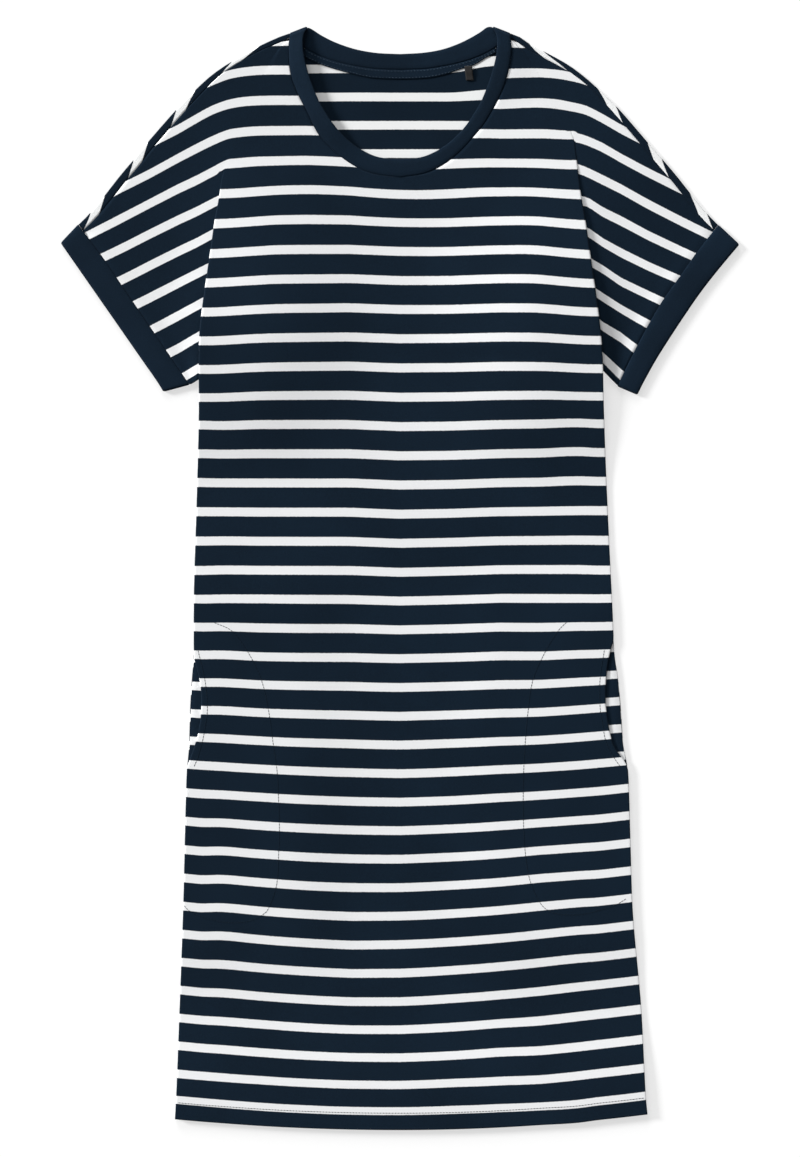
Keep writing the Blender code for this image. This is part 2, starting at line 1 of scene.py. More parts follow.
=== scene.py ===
"""Looks of a striped jersey nightshirt laid flat on a white surface, seen from straight above.

Sizes are in millimetres. A point of the laid cloth is given by across, its distance from the middle
line towards one side, and down, its distance below a line 27 mm above the neckband. Each piece is a
bmesh grid or loop laid along the garment's own lines, so that the stripes, seams and stitches follow
the cloth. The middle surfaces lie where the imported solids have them.
"""

import logging
import math
from dataclasses import dataclass, field
from enum import Enum
from typing import Callable, Sequence

import bmesh
import bpy
from mathutils import Matrix, Vector

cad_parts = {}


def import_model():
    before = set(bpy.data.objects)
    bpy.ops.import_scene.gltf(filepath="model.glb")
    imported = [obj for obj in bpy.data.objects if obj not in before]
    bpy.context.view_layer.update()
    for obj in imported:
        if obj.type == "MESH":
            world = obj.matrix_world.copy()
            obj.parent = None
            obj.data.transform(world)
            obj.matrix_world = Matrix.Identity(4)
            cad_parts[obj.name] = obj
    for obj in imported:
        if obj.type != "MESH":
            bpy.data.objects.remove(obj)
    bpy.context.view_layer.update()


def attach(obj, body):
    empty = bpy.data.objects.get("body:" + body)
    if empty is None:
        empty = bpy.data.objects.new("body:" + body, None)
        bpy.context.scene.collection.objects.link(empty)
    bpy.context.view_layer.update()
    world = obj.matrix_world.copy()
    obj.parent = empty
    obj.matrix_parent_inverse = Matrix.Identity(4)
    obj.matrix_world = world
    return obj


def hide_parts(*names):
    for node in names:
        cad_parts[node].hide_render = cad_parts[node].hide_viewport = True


LOG = logging.getLogger("nightshirt")
MM = 0.001
WELD = 0.000004  # metres: vertices closer than this are one
TONES = (0.3, 0.7)  # the part of a noise's range that colours and roughness follow
UP = Vector((0, 0, 1))
MIDDLE_DOWN = 578.3  # this far down is Y = 0

Plan = tuple[float, float]
Colour = tuple[float, float, float]
Point = tuple[float, float, float, float]  # across, down, level, stripe


class Side(Enum):
    """A side of the garment as the viewer sees it."""

    LEFT = 0
    RIGHT = 1

    @property
    def sign(self) -> int:
        """-1 on the left, 1 on the right."""
        return 1 if self is Side.RIGHT else -1


class Face(Enum):
    """Which panel a layout is for."""

    BACK = 0
    FRONT = 1


@dataclass(frozen=True)
class ClothSizes:
    """Walls and layers of the cloth."""

    jersey: float = 1.2
    band: float = 2.0
    bag: float = 1.0
    tab: float = 0.9
    layer: float = 1.6
    seam_gap: float = 0.06

    @property
    def turn(self) -> float:
        """How round a fold is."""
        return self.layer / 2

    @property
    def back_level(self) -> float:
        """Height of the back's middle surface."""
        return self.jersey / 2

    @property
    def front_level(self) -> float:
        """Height of the front's middle surface where it lies on the back."""
        return self.back_level + self.layer


@dataclass(frozen=True)
class StripeSizes:
    """Where the white rows lie on the front, how they bend, and how wide they are.

    Stretches are given by where they start and how long they are.
    """

    first: float = 42.5
    step: float = 29.8
    closing: float = 0.0267
    white_share: float = 0.302
    blur: float = 0.010
    sag_across: float = 100.0
    bow_across: float = 200.0
    droop_across: float = 70.0
    arm_from: float = 110.0
    arm_starts: Plan = (168.0, 22.0)
    nudge_starts: Plan = (136.0, 38.0)
    nudge_ends: Plan = (178.0, 22.0)
    nudge_fades: Plan = (158.0, 14.0)

    def level(self, row: float) -> float:
        """How far down a row lies on the middle, before it sags."""
        return self.first + self.step * row - self.closing * row * row


@dataclass(frozen=True)
class BackRowSizes:
    """Where the white rows of the back lie at its neck, and how they run into the sleeve.

    Stretches are given by where they start and how long they are.
    """

    first: float = 40.3
    step: float = 28.2
    opening: float = 0.0129
    rise: float = 8.8
    rise_across: Plan = (45.0, 52.0)
    rise_rows: Plan = (0.6, 2.2)
    bend_across: float = 144.0
    first_bend: float = 16.0
    softness: float = 12.0
    steepness: float = 0.49
    lower: tuple[float, float, float] = (0.053, 1.055, -0.0012)
    joining: Plan = (4.2, 2.0)


@dataclass(frozen=True)
class LiftSizes:
    """Where the front lies higher over what is under it: start and length of each slope."""

    bag_across: Plan = (40.0, 65.0)
    bag_top: Plan = (540.0, 75.0)
    bag_foot: Plan = (925.0, 75.0)
    hem: Plan = (1005.0, 92.0)
    pleat_fade: float = 110.0
    neck: float = 0.8
    neck_down: Plan = (70.0, 50.0)
    neck_across: float = 30.0


@dataclass(frozen=True)
class SleeveSizes:
    """The sleeves, and the pleat that they make under the arm.

    Stretches are given by where they start and how long they are.
    """

    underarm_row: float = 10.35
    apex_down: Plan = (168.0, 130.0)
    pleat_share: float = 0.25
    return_drop: float = 0.056
    rise: Plan = (-20.0, 210.0)
    fold: Plan = (-16.0, 30.0)
    fall: float = 44.0
    loft: float = 2.4
    loft_fade: Plan = (320.0, 100.0)
    lap: float = 140.0
    cuff_lift: float = 1.0
    underarm_down: float = 384.0
    steep: float = 0.27
    steep_fade: Plan = (2.0, 5.0)
    least_depth: float = 1.7
    cuff_rows: Plan = (3.9, 0.3)
    cuff_reach: float = 14.0
    crease_half: float = 9.0
    crease_half_share: float = 0.12
    crease_at_most: float = 0.55
    before_fold: float = 2.2
    past_fold: float = 1.6
    edge_strip: float = 0.7
    edge_dip: float = 0.2
    side_lap: float = 46.0


@dataclass(frozen=True)
class HemSizes:
    """The turned-up hem."""

    row: float = 37.74
    turn_up: float = 18.0
    stitch: float = 16.6


@dataclass(frozen=True)
class Detail:
    """How finely the panels are divided."""

    body: int = 30
    fold: int = 9
    sleeve: int = 18
    upper: int = 4
    pleat_step: float = 0.13
    body_step: float = 0.2
    body_crowding: float = 1.35
    sleeve_crowding: float = 1.15


CLOTH = ClothSizes()
STRIPES = StripeSizes()
BACK_ROWS = BackRowSizes()
LIFT = LiftSizes()
SLEEVE = SleeveSizes()
HEM = HemSizes()
DETAIL = Detail()


def smooth(x: float) -> float:
    """Go from 0 below 0 to 1 above 1 along an easy curve."""
    x = min(1.0, max(0.0, x))
    return x * x * (3 - 2 * x)


def slope(x: float, stretch: Plan) -> float:
    """Go from 0 to 1 along a stretch, given by its start and its length."""
    return smooth((x - stretch[0]) / stretch[1])


def soft_bend(x: float) -> float:
    """Zero far below 0 and x far above it, with an easy bend between."""
    return x if x > 30 else math.log(1 + math.exp(x))


def found(below: Callable[[float], bool], low: float, high: float, steps: int = 36) -> float:
    """Halve a range until only the wanted value is left.

    Args:
        below: whether a value is still too low.
        low: the range's lower end.
        high: its upper end.
        steps: how often it is halved.

    Returns:
        The value.
    """
    for _ in range(steps):
        middle = (low + high) / 2
        if below(middle):
            low = middle
        else:
            high = middle
    return middle


class Table:
    """Rows of numbers that can be read at any value of the first column, without corners."""

    def __init__(self, *rows: tuple[float, ...]) -> None:
        """Keep the rows and work out how steep each column is at each of them."""
        self.rows = rows
        self.slopes = [self._slopes(c) for c in range(len(rows[0]))]

    def _slopes(self, column: int) -> list[float]:
        """How steep a column is at each row.

        Args:
            column: the column.

        Returns:
            One slope for each row.
        """
        steps = [(b[column] - a[column]) / (b[0] - a[0]) for a, b in zip(self.rows, self.rows[1:])]
        inner = [0.0 if a * b <= 0 else 2 * a * b / (a + b) for a, b in zip(steps, steps[1:])]
        return [steps[0], *inner, steps[-1]]

    def read(self, at: float, column: int = 1, clamp: bool = False) -> float:
        """Read a column.

        Args:
            at: the value of the first column.
            column: the column to read.
            clamp: whether values outside the table keep its end values.

        Returns:
            The value there. Outside the table it runs on straight unless clamped.
        """
        rows, slopes = self.rows, self.slopes[column]
        if at <= rows[0][0] or at >= rows[-1][0]:
            end = 0 if at <= rows[0][0] else -1
            run = 0.0 if clamp else slopes[end] * (at - rows[end][0])
            return rows[end][column] + run
        k = 0
        while at > rows[k + 1][0]:
            k += 1
        width = rows[k + 1][0] - rows[k][0]
        t = (at - rows[k][0]) / width
        return (rows[k][column] * (2 * t**3 - 3 * t**2 + 1) + slopes[k] * width * (t**3 - 2 * t**2 + t)
                + rows[k + 1][column] * (3 * t**2 - 2 * t**3) + slopes[k + 1] * width * (t**3 - t**2))

    def between(self, places: Sequence[float], at: float, across: float) -> float:
        """Read a table whose columns after the first stand for places across.

        Args:
            places: the place across of each column.
            at: the value of the first column.
            across: the place to read at.

        Returns:
            The value between the two columns next to that place.
        """
        k = 0
        while k < len(places) - 2 and across > places[k + 1]:
            k += 1
        t = min(1.0, max(0.0, (across - places[k]) / (places[k + 1] - places[k])))
        return (1 - t) * self.read(at, k + 1, clamp=True) + t * self.read(at, k + 2, clamp=True)


def rounded(points: Sequence[tuple[float, ...]], steps: int) -> list[tuple[float, ...]]:
    """Run a smooth curve through points.

    Args:
        points: the points, with any number of values each.
        steps: how many pieces to make of each stretch between two points.

    Returns:
        The finer list of points, the given ones among them.
    """
    out = []
    for k in range(len(points) - 1):
        p1, p2 = points[k], points[k + 1]
        p0 = points[k - 1] if k else tuple(2 * a - b for a, b in zip(p1, p2))
        p3 = points[k + 2] if k + 2 < len(points) else tuple(2 * b - a for a, b in zip(p1, p2))
        for t in (s / steps for s in range(steps)):
            out.append(tuple(
                0.5 * (2 * b + (c - a) * t + (2 * a - 5 * b + 4 * c - d) * t**2
                       + (3 * b - a - 3 * c + d) * t**3)
                for a, b, c, d in zip(p0, p1, p2, p3)))
    return out + [tuple(points[-1])]


class Path:
    """A line of points in the plane of the laid cloth."""

    def __init__(self, points: Sequence[Plan]) -> None:
        """Keep the points and how far along the line each of them lies.

        Args:
            points: the points.
        """
        self.points = [tuple(p[:2]) for p in points]
        self.reach = [0.0]
        for a, b in zip(self.points, self.points[1:]):
            self.reach.append(self.reach[-1] + math.dist(a, b))

    @property
    def length(self) -> float:
        """How long the line is."""
        return self.reach[-1]

    def at(self, share: float) -> tuple[Plan, Plan]:
        """The point a share of the way along, and the line's direction there.

        Args:
            share: how far along, from 0 to 1.

        Returns:
            The point and the direction.
        """
        want = min(1.0, max(0.0, share)) * self.length
        k = 0
        while k < len(self.points) - 2 and self.reach[k + 1] < want:
            k += 1
        a, b = self.points[k], self.points[k + 1]
        span = self.reach[k + 1] - self.reach[k]
        t = (want - self.reach[k]) / span
        return ((a[0] + (b[0] - a[0]) * t, a[1] + (b[1] - a[1]) * t),
                ((b[0] - a[0]) / span, (b[1] - a[1]) / span))

    def moved(self, distance: float | Callable[[Plan], float]) -> "Path":
        """The line moved sideways, to the right of its direction as down grows.

        Args:
            distance: how far, a number or a function of the point.

        Returns:
            The new line.
        """
        out, last = [], len(self.points) - 1
        for i, p in enumerate(self.points):
            a, b = self.points[max(0, i - 1)], self.points[min(last, i + 1)]
            span = math.dist(a, b)
            d = distance(p) if callable(distance) else distance
            out.append((p[0] - d * (b[1] - a[1]) / span, p[1] + d * (b[0] - a[0]) / span))
        return Path(out)


class Outline:
    """The garment's measured lines: short tables, one row for a place along each line."""

    # down, left across, right across: edge of the body, from the pleat to the hem
    sides = Table(
        (118.0, 168.0, 172.4), (150.0, 174.0, 174.9), (168.0, 177.0, 177.2), (191.0, 179.5, 179.8),
        (221.0, 184.8, 184.8), (249.0, 188.7, 188.7), (279.0, 193.0, 193.0), (308.0, 197.0, 197.0),
        (337.0, 199.8, 200.2), (366.0, 200.6, 202.3), (396.0, 200.6, 203.0), (500.0, 203.2, 207.2),
        (603.0, 206.0, 212.0), (650.0, 206.2, 214.3), (682.0, 208.5, 218.6), (710.0, 210.1, 221.1),
        (745.0, 211.1, 223.5), (770.0, 213.0, 227.9), (842.0, 215.0, 230.3), (900.0, 216.4, 232.0),
        (1013.0, 220.5, 241.5), (1096.0, 223.5, 245.5), (1116.0, 224.6, 247.4))
    # down, left across, right across: front edge of the side pocket's opening
    opening = Table(
        (640.0, 206.1, 213.6), (650.0, 206.0, 210.3), (659.0, 205.4, 208.3), (671.0, 202.2, 206.6),
        (688.0, 199.0, 205.4), (702.0, 198.3, 205.4), (716.0, 199.0, 206.9), (733.0, 201.5, 209.8),
        (742.0, 204.1, 212.0), (750.0, 206.6, 215.8), (756.0, 208.9, 220.4), (762.0, 211.0, 225.0),
        (768.0, 212.8, 227.8))
    # left across, right across, down: edge of the shoulder from the neck to the cuff
    shoulder = (
        (110.5, 110.5, 33.7), (117.0, 117.2, 35.5), (123.5, 121.5, 38.7), (138.0, 131.0, 45.0),
        (169.0, 163.5, 62.3), (188.0, 182.0, 75.3), (203.5, 198.0, 89.3), (223.4, 219.0, 109.7),
        (251.7, 247.0, 142.0), (265.6, 262.0, 159.3), (280.0, 276.5, 176.3), (295.0, 291.7, 195.6),
        (309.0, 305.5, 212.5), (321.4, 317.9, 225.3))
    # down, left and right setback: the shoulder seam lies this far in from the edge, on the front
    setback = Table(
        (34.0, 3.9, 3.9), (39.0, 5.2, 5.3), (46.0, 4.3, 5.5), (60.0, 3.9, 5.3), (72.0, 4.8, 4.5),
        (88.0, 6.5, 4.2), (106.0, 7.0, 5.8), (140.0, 7.3, 6.3), (178.0, 7.5, 6.6), (226.0, 7.0, 6.2))
    # stripe, left edge, left seam, right edge, right seam: how far down a stripe of the back meets
    # the edge of the shoulder, and the seam that lies level with that place of the edge
    shoulder_stripes = (
        (-0.7, 30.0, 40.0, 28.0, 38.0), (-0.148, 46.2, 57.4, 43.9, 53.5), (0.148, 61.2, 70.6, 50.6, 66.5),
        (0.852, 90.3, 106.0, 89.2, 101.8), (1.148, 109.6, 122.0, 106.1, 118.4),
        (1.852, 142.1, 157.1, 142.7, 155.4), (2.148, 159.3, 173.0, 158.4, 173.0),
        (2.852, 196.0, 210.0, 193.5, 210.1), (3.148, 212.3, 224.9, 213.9, 224.4),
        (4.0, 250.0, 262.0, 250.0, 262.0))
    # left across, left down, right across, right down: the cuff from the shoulder to the underarm
    cuff_inner = (
        (321.4, 225.0, 317.9, 225.3), (298.5, 255.6, 297.1, 251.9), (281.0, 281.2, 280.3, 275.8),
        (265.4, 304.1, 264.2, 298.2), (249.2, 327.8, 250.8, 320.4), (232.0, 353.1, 237.1, 345.9),
        (219.0, 372.2, 223.8, 372.6), (211.0, 384.0, 217.9, 385.5))
    cuff_outer = (
        (339.0, 243.6, 339.0, 245.0), (319.0, 272.3, 316.5, 272.0), (303.5, 294.6, 299.5, 294.0),
        (288.5, 316.1, 284.0, 316.5), (272.5, 339.1, 269.5, 338.5), (255.5, 363.5, 256.0, 360.0),
        (243.0, 381.4, 243.5, 382.5), (237.0, 391.0, 237.8, 394.0))
    # row, left down, left slope, right down, right slope: a row of the sleeve at arm_at across
    arm_at = 210.0
    arm_rows = Table(
        (-1.0, 30.5, 0.53, 31.5, 0.52), (0.0, 60.5, 0.53, 61.5, 0.52), (1.0, 90.5, 0.53, 92.0, 0.52),
        (2.0, 122.0, 0.53, 124.0, 0.51), (3.0, 151.0, 0.52, 152.5, 0.50), (4.0, 182.0, 0.516, 184.0, 0.496),
        (5.0, 214.0, 0.491, 216.0, 0.465), (6.0, 245.0, 0.507, 248.0, 0.453),
        (7.0, 276.0, 0.528, 276.0, 0.488), (8.0, 308.0, 0.56, 302.0, 0.56), (9.0, 341.0, 0.55, 331.0, 0.72),
        (10.0, 374.0, 0.50, 365.0, 0.87), (10.35, 385.0, 0.50, 378.0, 0.90))
    # row, softness: how gently a row bends into the sleeve
    bend = Table((0.0, 10.0), (1.0, 8.5), (2.0, 6.4), (3.0, 5.3), (4.0, 3.2), (5.0, 1.6), (6.0, 1.0))
    # down, left, right: how much higher a row lies at 200 across than at the middle
    bow = Table((560.0, 0.0, 0.0), (630.0, 3.0, 3.0), (740.0, 7.5, 8.0), (900.0, 9.5, 11.0),
                (1130.0, 8.5, 10.2))
    # down, sag, droop: how much lower a row lies in the middle, and beside the pleat
    sag = Table((140.0, 4.0, 0.0), (190.0, 4.0, 2.5), (220.0, 2.0, 3.5), (250.0, 1.0, 4.0),
                (366.0, 0.0, 3.0), (426.0, 0.0, 0.0))
    # down, left across, right across: line of the soft crease that runs from the pleat towards the neck
    crease = Table(
        (42.0, 118.0, 118.0), (72.0, 143.0, 146.0), (90.0, 154.0, 161.0), (102.0, 160.0, 168.0),
        (116.0, 165.0, 171.6), (132.0, 170.0, 173.6), (161.0, 175.0, 176.5), (168.0, 177.0, 177.2))
    # down, then how much lower the rows of the body lie than the even ones, at wander_at across
    wander_at = (-200.0, -140.0, -50.0, 0.0, 50.0, 100.0, 140.0, 198.0)
    wander = Table(
        (45.0, -1.5, -2.0, 0.0, 0.0, 0.0, 0.0, 0.0, -0.5),
        (75.0, -2.2, -2.9, -1.5, 0.0, 0.0, 1.5, -0.6, -2.0),
        (105.0, -1.8, -1.7, -1.5, 0.0, 0.0, 2.3, 0.3, -1.5),
        (135.0, -0.5, -0.9, -1.5, 0.0, 0.0, 2.3, 2.2, 0.0),
        (165.0, 0.5, -0.3, -1.3, -0.2, 0.6, 1.8, 1.8, 0.8),
        (193.0, 0.8, -0.4, -2.2, -0.4, 0.9, 1.3, 0.9, 2.2),
        (222.0, 0.7, 0.0, -1.4, 0.2, 1.1, 1.0, 0.4, 2.2),
        (251.0, 0.6, 0.7, -1.0, 0.6, 1.1, 0.5, 0.4, 1.8),
        (309.0, 0.6, 1.3, -0.9, 0.7, 0.7, 0.0, 0.3, 0.4),
        (367.0, 0.0, 0.7, -0.9, 0.9, 0.5, -0.2, 0.0, -0.8),
        (425.0, -0.2, -0.7, -0.9, 1.2, 0.7, -0.7, -1.3, -1.6),
        (483.0, -1.0, -0.5, -0.6, 1.6, 0.9, -0.9, -1.3, -2.3),
        (541.0, -0.4, -0.1, 0.1, 1.9, 0.9, -0.6, -1.0, -1.0),
        (599.0, 1.8, 0.6, 0.5, 2.1, 1.0, -0.2, 0.2, 1.3),
        (657.0, 2.4, 2.2, 1.2, 2.1, 1.3, 0.4, 1.5, 1.6),
        (714.0, 3.0, 2.1, 1.7, 2.6, 1.5, 1.1, 1.9, 1.4),
        (770.0, 2.6, 1.9, 2.2, 2.8, 1.8, 0.9, 1.3, 1.3),
        (827.0, 3.7, 2.2, 2.9, 3.1, 1.8, 0.6, 0.2, 1.1),
        (884.0, 4.6, 2.7, 3.9, 3.4, 2.0, 0.5, -0.8, 0.7),
        (942.0, 4.4, 3.3, 5.1, 3.9, 2.1, 0.4, -1.1, -0.9),
        (999.0, 4.5, 3.9, 5.5, 4.8, 2.8, 0.8, -0.1, -1.5),
        (1055.0, 3.6, 3.9, 4.8, 4.7, 3.2, 1.7, 3.0, 2.1),
        (1082.0, 3.4, 3.2, 3.9, 3.7, 2.5, 2.5, 3.6, 2.5),
        (1108.0, 1.5, 1.8, 2.2, 2.0, 1.6, 1.6, 2.4, 2.2),
        (1130.0, 0.0, 0.0, 0.0, 0.0, 0.0, 0.0, 0.0, 0.0))
    # down, left, right: how much lower still the rows lie some 20 mm in from the edge
    nudge = Table(
        (102.0, 0.0, 0.0), (131.7, 0.5, 2.1), (161.3, 1.3, 1.4), (190.8, 0.1, -0.1),
        (220.3, -0.3, -0.2), (249.8, -0.4, -0.2), (280.0, -0.3, 0.0), (309.0, 0.0, 0.1),
        (395.0, 0.3, 0.0), (423.0, 0.7, -0.9), (451.0, 0.5, -1.1), (480.0, 0.2, -0.8),
        (510.0, -0.1, -0.2), (569.0, -0.3, -0.4), (598.0, -0.2, -0.2), (656.0, -0.8, -0.3),
        (714.0, -0.6, 0.0), (770.0, -0.2, 0.1), (799.0, -0.4, -0.1), (827.0, -0.9, -0.2),
        (856.0, -1.4, -0.2), (884.0, -1.5, -0.4), (912.0, -1.5, -0.6), (940.0, -1.5, -0.7),
        (969.0, -1.1, -0.6), (997.0, -0.9, -0.3), (1025.0, -0.4, -0.1), (1055.0, -0.2, 0.0),
        (1082.0, 0.0, 0.0), (1108.0, -0.1, 0.8))
    # row, then how much lower the rows of each sleeve lie than the straight ones, at sleeve_at across
    sleeve_at = (188.0, 203.0, 221.0, 248.0, 275.0)
    sleeve_wander = (
        Table((1.0, -1.0, 0.0, 0.0, 0.0, 0.0), (2.0, -1.7, -0.4, 1.0, 0.3, 0.0),
              (3.0, 0.3, 0.7, 0.8, 1.8, 1.2), (4.0, 1.4, 1.7, 0.8, 0.8, 1.0),
              (5.0, 0.5, 0.9, 0.3, 0.3, 0.8), (6.0, 0.6, 1.2, 0.5, 0.2, 0.4),
              (7.0, 2.0, 1.5, 1.0, 0.4, 0.1), (8.0, 2.0, 1.9, 1.4, 0.5, 0.3),
              (9.0, 0.0, 0.6, 1.1, 0.2, 0.0), (10.0, -1.5, -1.0, 0.3, 0.0, 0.0)),
        Table((1.0, -2.0, -1.0, 0.0, 0.0, 0.0), (2.0, -2.9, -2.0, -0.4, 0.0, 0.0),
              (3.0, -1.1, -1.6, 0.1, 1.0, 1.0), (4.0, -0.4, -0.5, -0.6, 1.3, 2.0),
              (5.0, -3.5, -0.5, -0.2, 1.8, 1.9), (6.0, -5.5, -1.8, 0.0, 1.0, 0.5),
              (7.0, -4.0, -2.7, 0.8, 0.5, 0.3), (8.0, -2.0, -0.2, 1.0, 0.9, 0.5),
              (9.0, 0.0, 1.0, -1.5, 0.7, 0.5), (10.0, 0.0, -1.0, 0.5, 0.0, 0.0)))
    # seam across, seam down, free across, free down, left and right shift of the seam: the neckband
    # from the shoulder to the middle
    neck_front = (
        (110.5, 34.0, 92.5, 27.0, 0.0, 0.0), (111.0, 41.0, 96.5, 36.0, 0.0, 0.0),
        (111.5, 51.0, 97.0, 47.0, 0.0, 0.0), (110.0, 66.0, 95.5, 58.5, 0.6, -0.6),
        (107.5, 78.0, 92.8, 69.5, 0.8, -0.8), (103.5, 89.0, 90.0, 79.0, 0.8, -0.5),
        (98.5, 100.0, 85.5, 91.0, 0.8, -0.4), (92.5, 111.0, 80.0, 103.5, 0.8, -0.5),
        (85.0, 125.0, 71.5, 117.5, 1.8, -1.6), (78.0, 135.0, 65.5, 126.0, 3.2, -3.0),
        (70.0, 144.5, 58.5, 134.0, 3.0, -2.9), (58.5, 155.5, 48.0, 143.5, 2.2, -2.6),
        (44.0, 166.0, 35.5, 151.5, 1.4, -2.8), (26.0, 173.8, 20.5, 157.3, 1.0, -2.6),
        (0.0, 177.5, 0.0, 159.5, 0.0, 0.0))
    neck_back = (
        (110.5, 34.0, 92.5, 27.0, 0.3, 0.4), (103.0, 42.0, 87.0, 32.5, 2.9, 5.5),
        (91.0, 50.5, 79.0, 38.0, 3.1, 5.4), (76.0, 57.5, 67.0, 43.5, 2.5, 4.1),
        (60.0, 62.5, 54.0, 48.0, 2.0, 2.8), (43.5, 66.0, 40.0, 51.0, 1.1, 1.4),
        (25.0, 68.7, 22.0, 53.4, 0.7, 0.9), (0.0, 69.7, 0.0, 54.3, 0.6, 0.6))
    # down, left inner, left outer, right inner, right outer: a pocket bag row by row
    bags = (
        (619.0, 198.0, 205.4, 184.0, 212.2), (624.0, 184.0, 205.4, 165.0, 212.4),
        (632.0, 167.0, 205.4, 157.5, 212.7), (652.0, 152.0, 205.6, 145.0, 214.2),
        (680.0, 138.5, 207.8, 132.7, 217.9), (713.0, 131.0, 209.4, 127.7, 220.6),
        (741.0, 127.2, 210.3, 125.0, 222.6), (770.0, 123.0, 212.2, 123.6, 227.1),
        (800.0, 121.4, 213.0, 123.1, 228.1), (827.0, 120.5, 213.8, 123.4, 229.0),
        (855.0, 121.4, 214.6, 125.6, 229.8), (884.0, 124.0, 215.2, 131.0, 230.7),
        (900.0, 128.0, 215.4, 139.5, 224.0), (912.0, 135.5, 207.5, 152.0, 203.0),
        (919.0, 146.0, 190.0, 167.0, 190.0))
    # down of the rows of the back below its neckband, and rows that end on the cuff
    back_middle_starts = (92.0, 115.0, 137.0, 158.0, 177.0)
    cuff_end_rows = (4.1, 4.3, 4.5, 4.7, 4.88, 5.06)
    edge_rows = 8


class HalfLayout:
    """One side of a panel: where its rows run in the plane and how high its layers lie."""

    def __init__(self, side: Side, face: Face) -> None:
        """Work out the lines that the rows of this half run to.

        Args:
            side: the side of the garment.
            face: the panel.
        """
        self.side, self.front = side, face is Face.FRONT
        s = side.value
        self.column = 1 + s
        self.edge = Path(rounded([(r[s], r[2]) for r in Outline.shoulder], 6))
        cuff = Path(rounded([r[2 * s:2 * s + 2] for r in Outline.cuff_inner], 4)).moved(CLOTH.seam_gap)
        seam = self.edge.moved(lambda p: Outline.setback.read(p[1], self.column))
        shoulder = seam.moved(CLOTH.seam_gap / 2) if self.front else self.edge
        share = Outline.setback.rows[-1][self.column] / cuff.length if self.front else 0.0
        corner, _ = cuff.at(share)
        self.shoulder = Path([*shoulder.points[:-1], corner])
        self.cuff = Path([corner, *(p for p in cuff.points if p[1] > corner[1] + 0.5)])
        rows = Outline.shoulder_stripes
        self.edge_stripes = Table(*((r[1 + 2 * s], r[0]) for r in rows))
        self.seam_stripes = Table(*((r[2 + 2 * s], r[0]) for r in rows))
        angles = [math.pi * k / (DETAIL.fold - 1) for k in range(DETAIL.fold)]
        self.round = [(math.sin(angle), 0.5 - 0.5 * math.cos(angle)) for angle in angles]
        self.body_shares = [1 - (1 - k / (DETAIL.body - 1)) ** DETAIL.body_crowding
                            for k in range(DETAIL.body)]
        self.sleeve_shares = [(k / DETAIL.sleeve) ** DETAIL.sleeve_crowding
                              for k in range(1, DETAIL.sleeve + 1)]

    def side_across(self, down: float) -> float:
        """The body's edge at a height, without the pocket's opening."""
        return Outline.sides.read(down, self.column)

    def edge_across(self, down: float) -> float:
        """This panel's own edge at a height.

        Args:
            down: the distance down.

        Returns:
            Its distance from the middle.
        """
        across = self.side_across(down)
        first, last = Outline.opening.rows[0][0], Outline.opening.rows[-1][0]
        if self.front and first < down < last:
            across = min(across, Outline.opening.read(down, self.column))
        return across

    def wander(self, level: float, across: float) -> float:
        """How much lower than even a row of the body lies."""
        return Outline.wander.between(Outline.wander_at, level, self.side.sign * across)

    def nudge(self, level: float, across: float) -> float:
        """How much lower still a row lies near the edge of the body."""
        near = slope(across, STRIPES.nudge_starts) * (1 - slope(across, STRIPES.nudge_ends))
        return near * Outline.nudge.read(level, self.column, clamp=True) if near else 0.0

    def body_down(self, row: float, across: float, plain: bool = False) -> float:
        """How far down a row lies on the body.

        Args:
            row: the row.
            across: the distance from the middle.
            plain: whether its own small waves are left out.

        Returns:
            The distance down.
        """
        level = STRIPES.level(row)
        sag = Outline.sag.read(level, 1, clamp=True) if self.front else 0.0
        droop = Outline.sag.read(level, 2, clamp=True)
        bow = Outline.bow.read(level, self.column, clamp=True)
        near = Outline.sides.read(level, self.column, clamp=True)
        own = 0.0 if plain else self.wander(level, across) + self.nudge(level, across)
        middle = max(0.0, 1 - (across / STRIPES.sag_across) ** 2) ** 2
        return (level + sag * middle - bow * (across / STRIPES.bow_across) ** 2
                + droop * slope(across, (near - STRIPES.droop_across, STRIPES.droop_across)) + own)

    def arm_down(self, row: float, across: float) -> float:
        """How far down a row lies on the sleeve, and on its way into it.

        Args:
            row: the stripe row.
            across: the distance from the middle.

        Returns:
            The distance down.
        """
        body = self.body_down(row, min(across, STRIPES.arm_from), plain=True)
        place = 1 + 2 * self.side.value
        arm = (Outline.arm_rows.read(row, place)
               + Outline.arm_rows.read(row, place + 1) * (across - Outline.arm_at))
        soft = Outline.bend.read(row, clamp=True)
        level = STRIPES.level(row)
        out = slope(across, STRIPES.arm_starts)
        own = (1 - out) * self.wander(level, across)
        own += (1 - slope(across, STRIPES.nudge_fades)) * self.nudge(level, across)
        if out > 0.0:
            own += out * Outline.sleeve_wander[self.side.value].between(Outline.sleeve_at, row, across)
        return body + soft * soft_bend((arm - body) / soft) + own

    def row_at(self, across: float, down: float, arm: bool = True) -> float:
        """The row that runs through a point of the body, or of the sleeve."""
        where = self.arm_down if arm else self.body_down
        return found(lambda row: where(row, across) < down, -2.0, 12.0 if arm else 40.0)

    def end_on_cuff(self, row: float) -> Plan:
        """Where a row meets the cuff.

        Args:
            row: the stripe row.

        Returns:
            The point in the plane.
        """

        def above(share: float) -> bool:
            """Whether this place of the cuff lies above the row."""
            (across, down), _ = self.cuff.at(share)
            return down < self.arm_down(row, across)

        return self.cuff.at(found(above, 0.0, 1.0))[0]

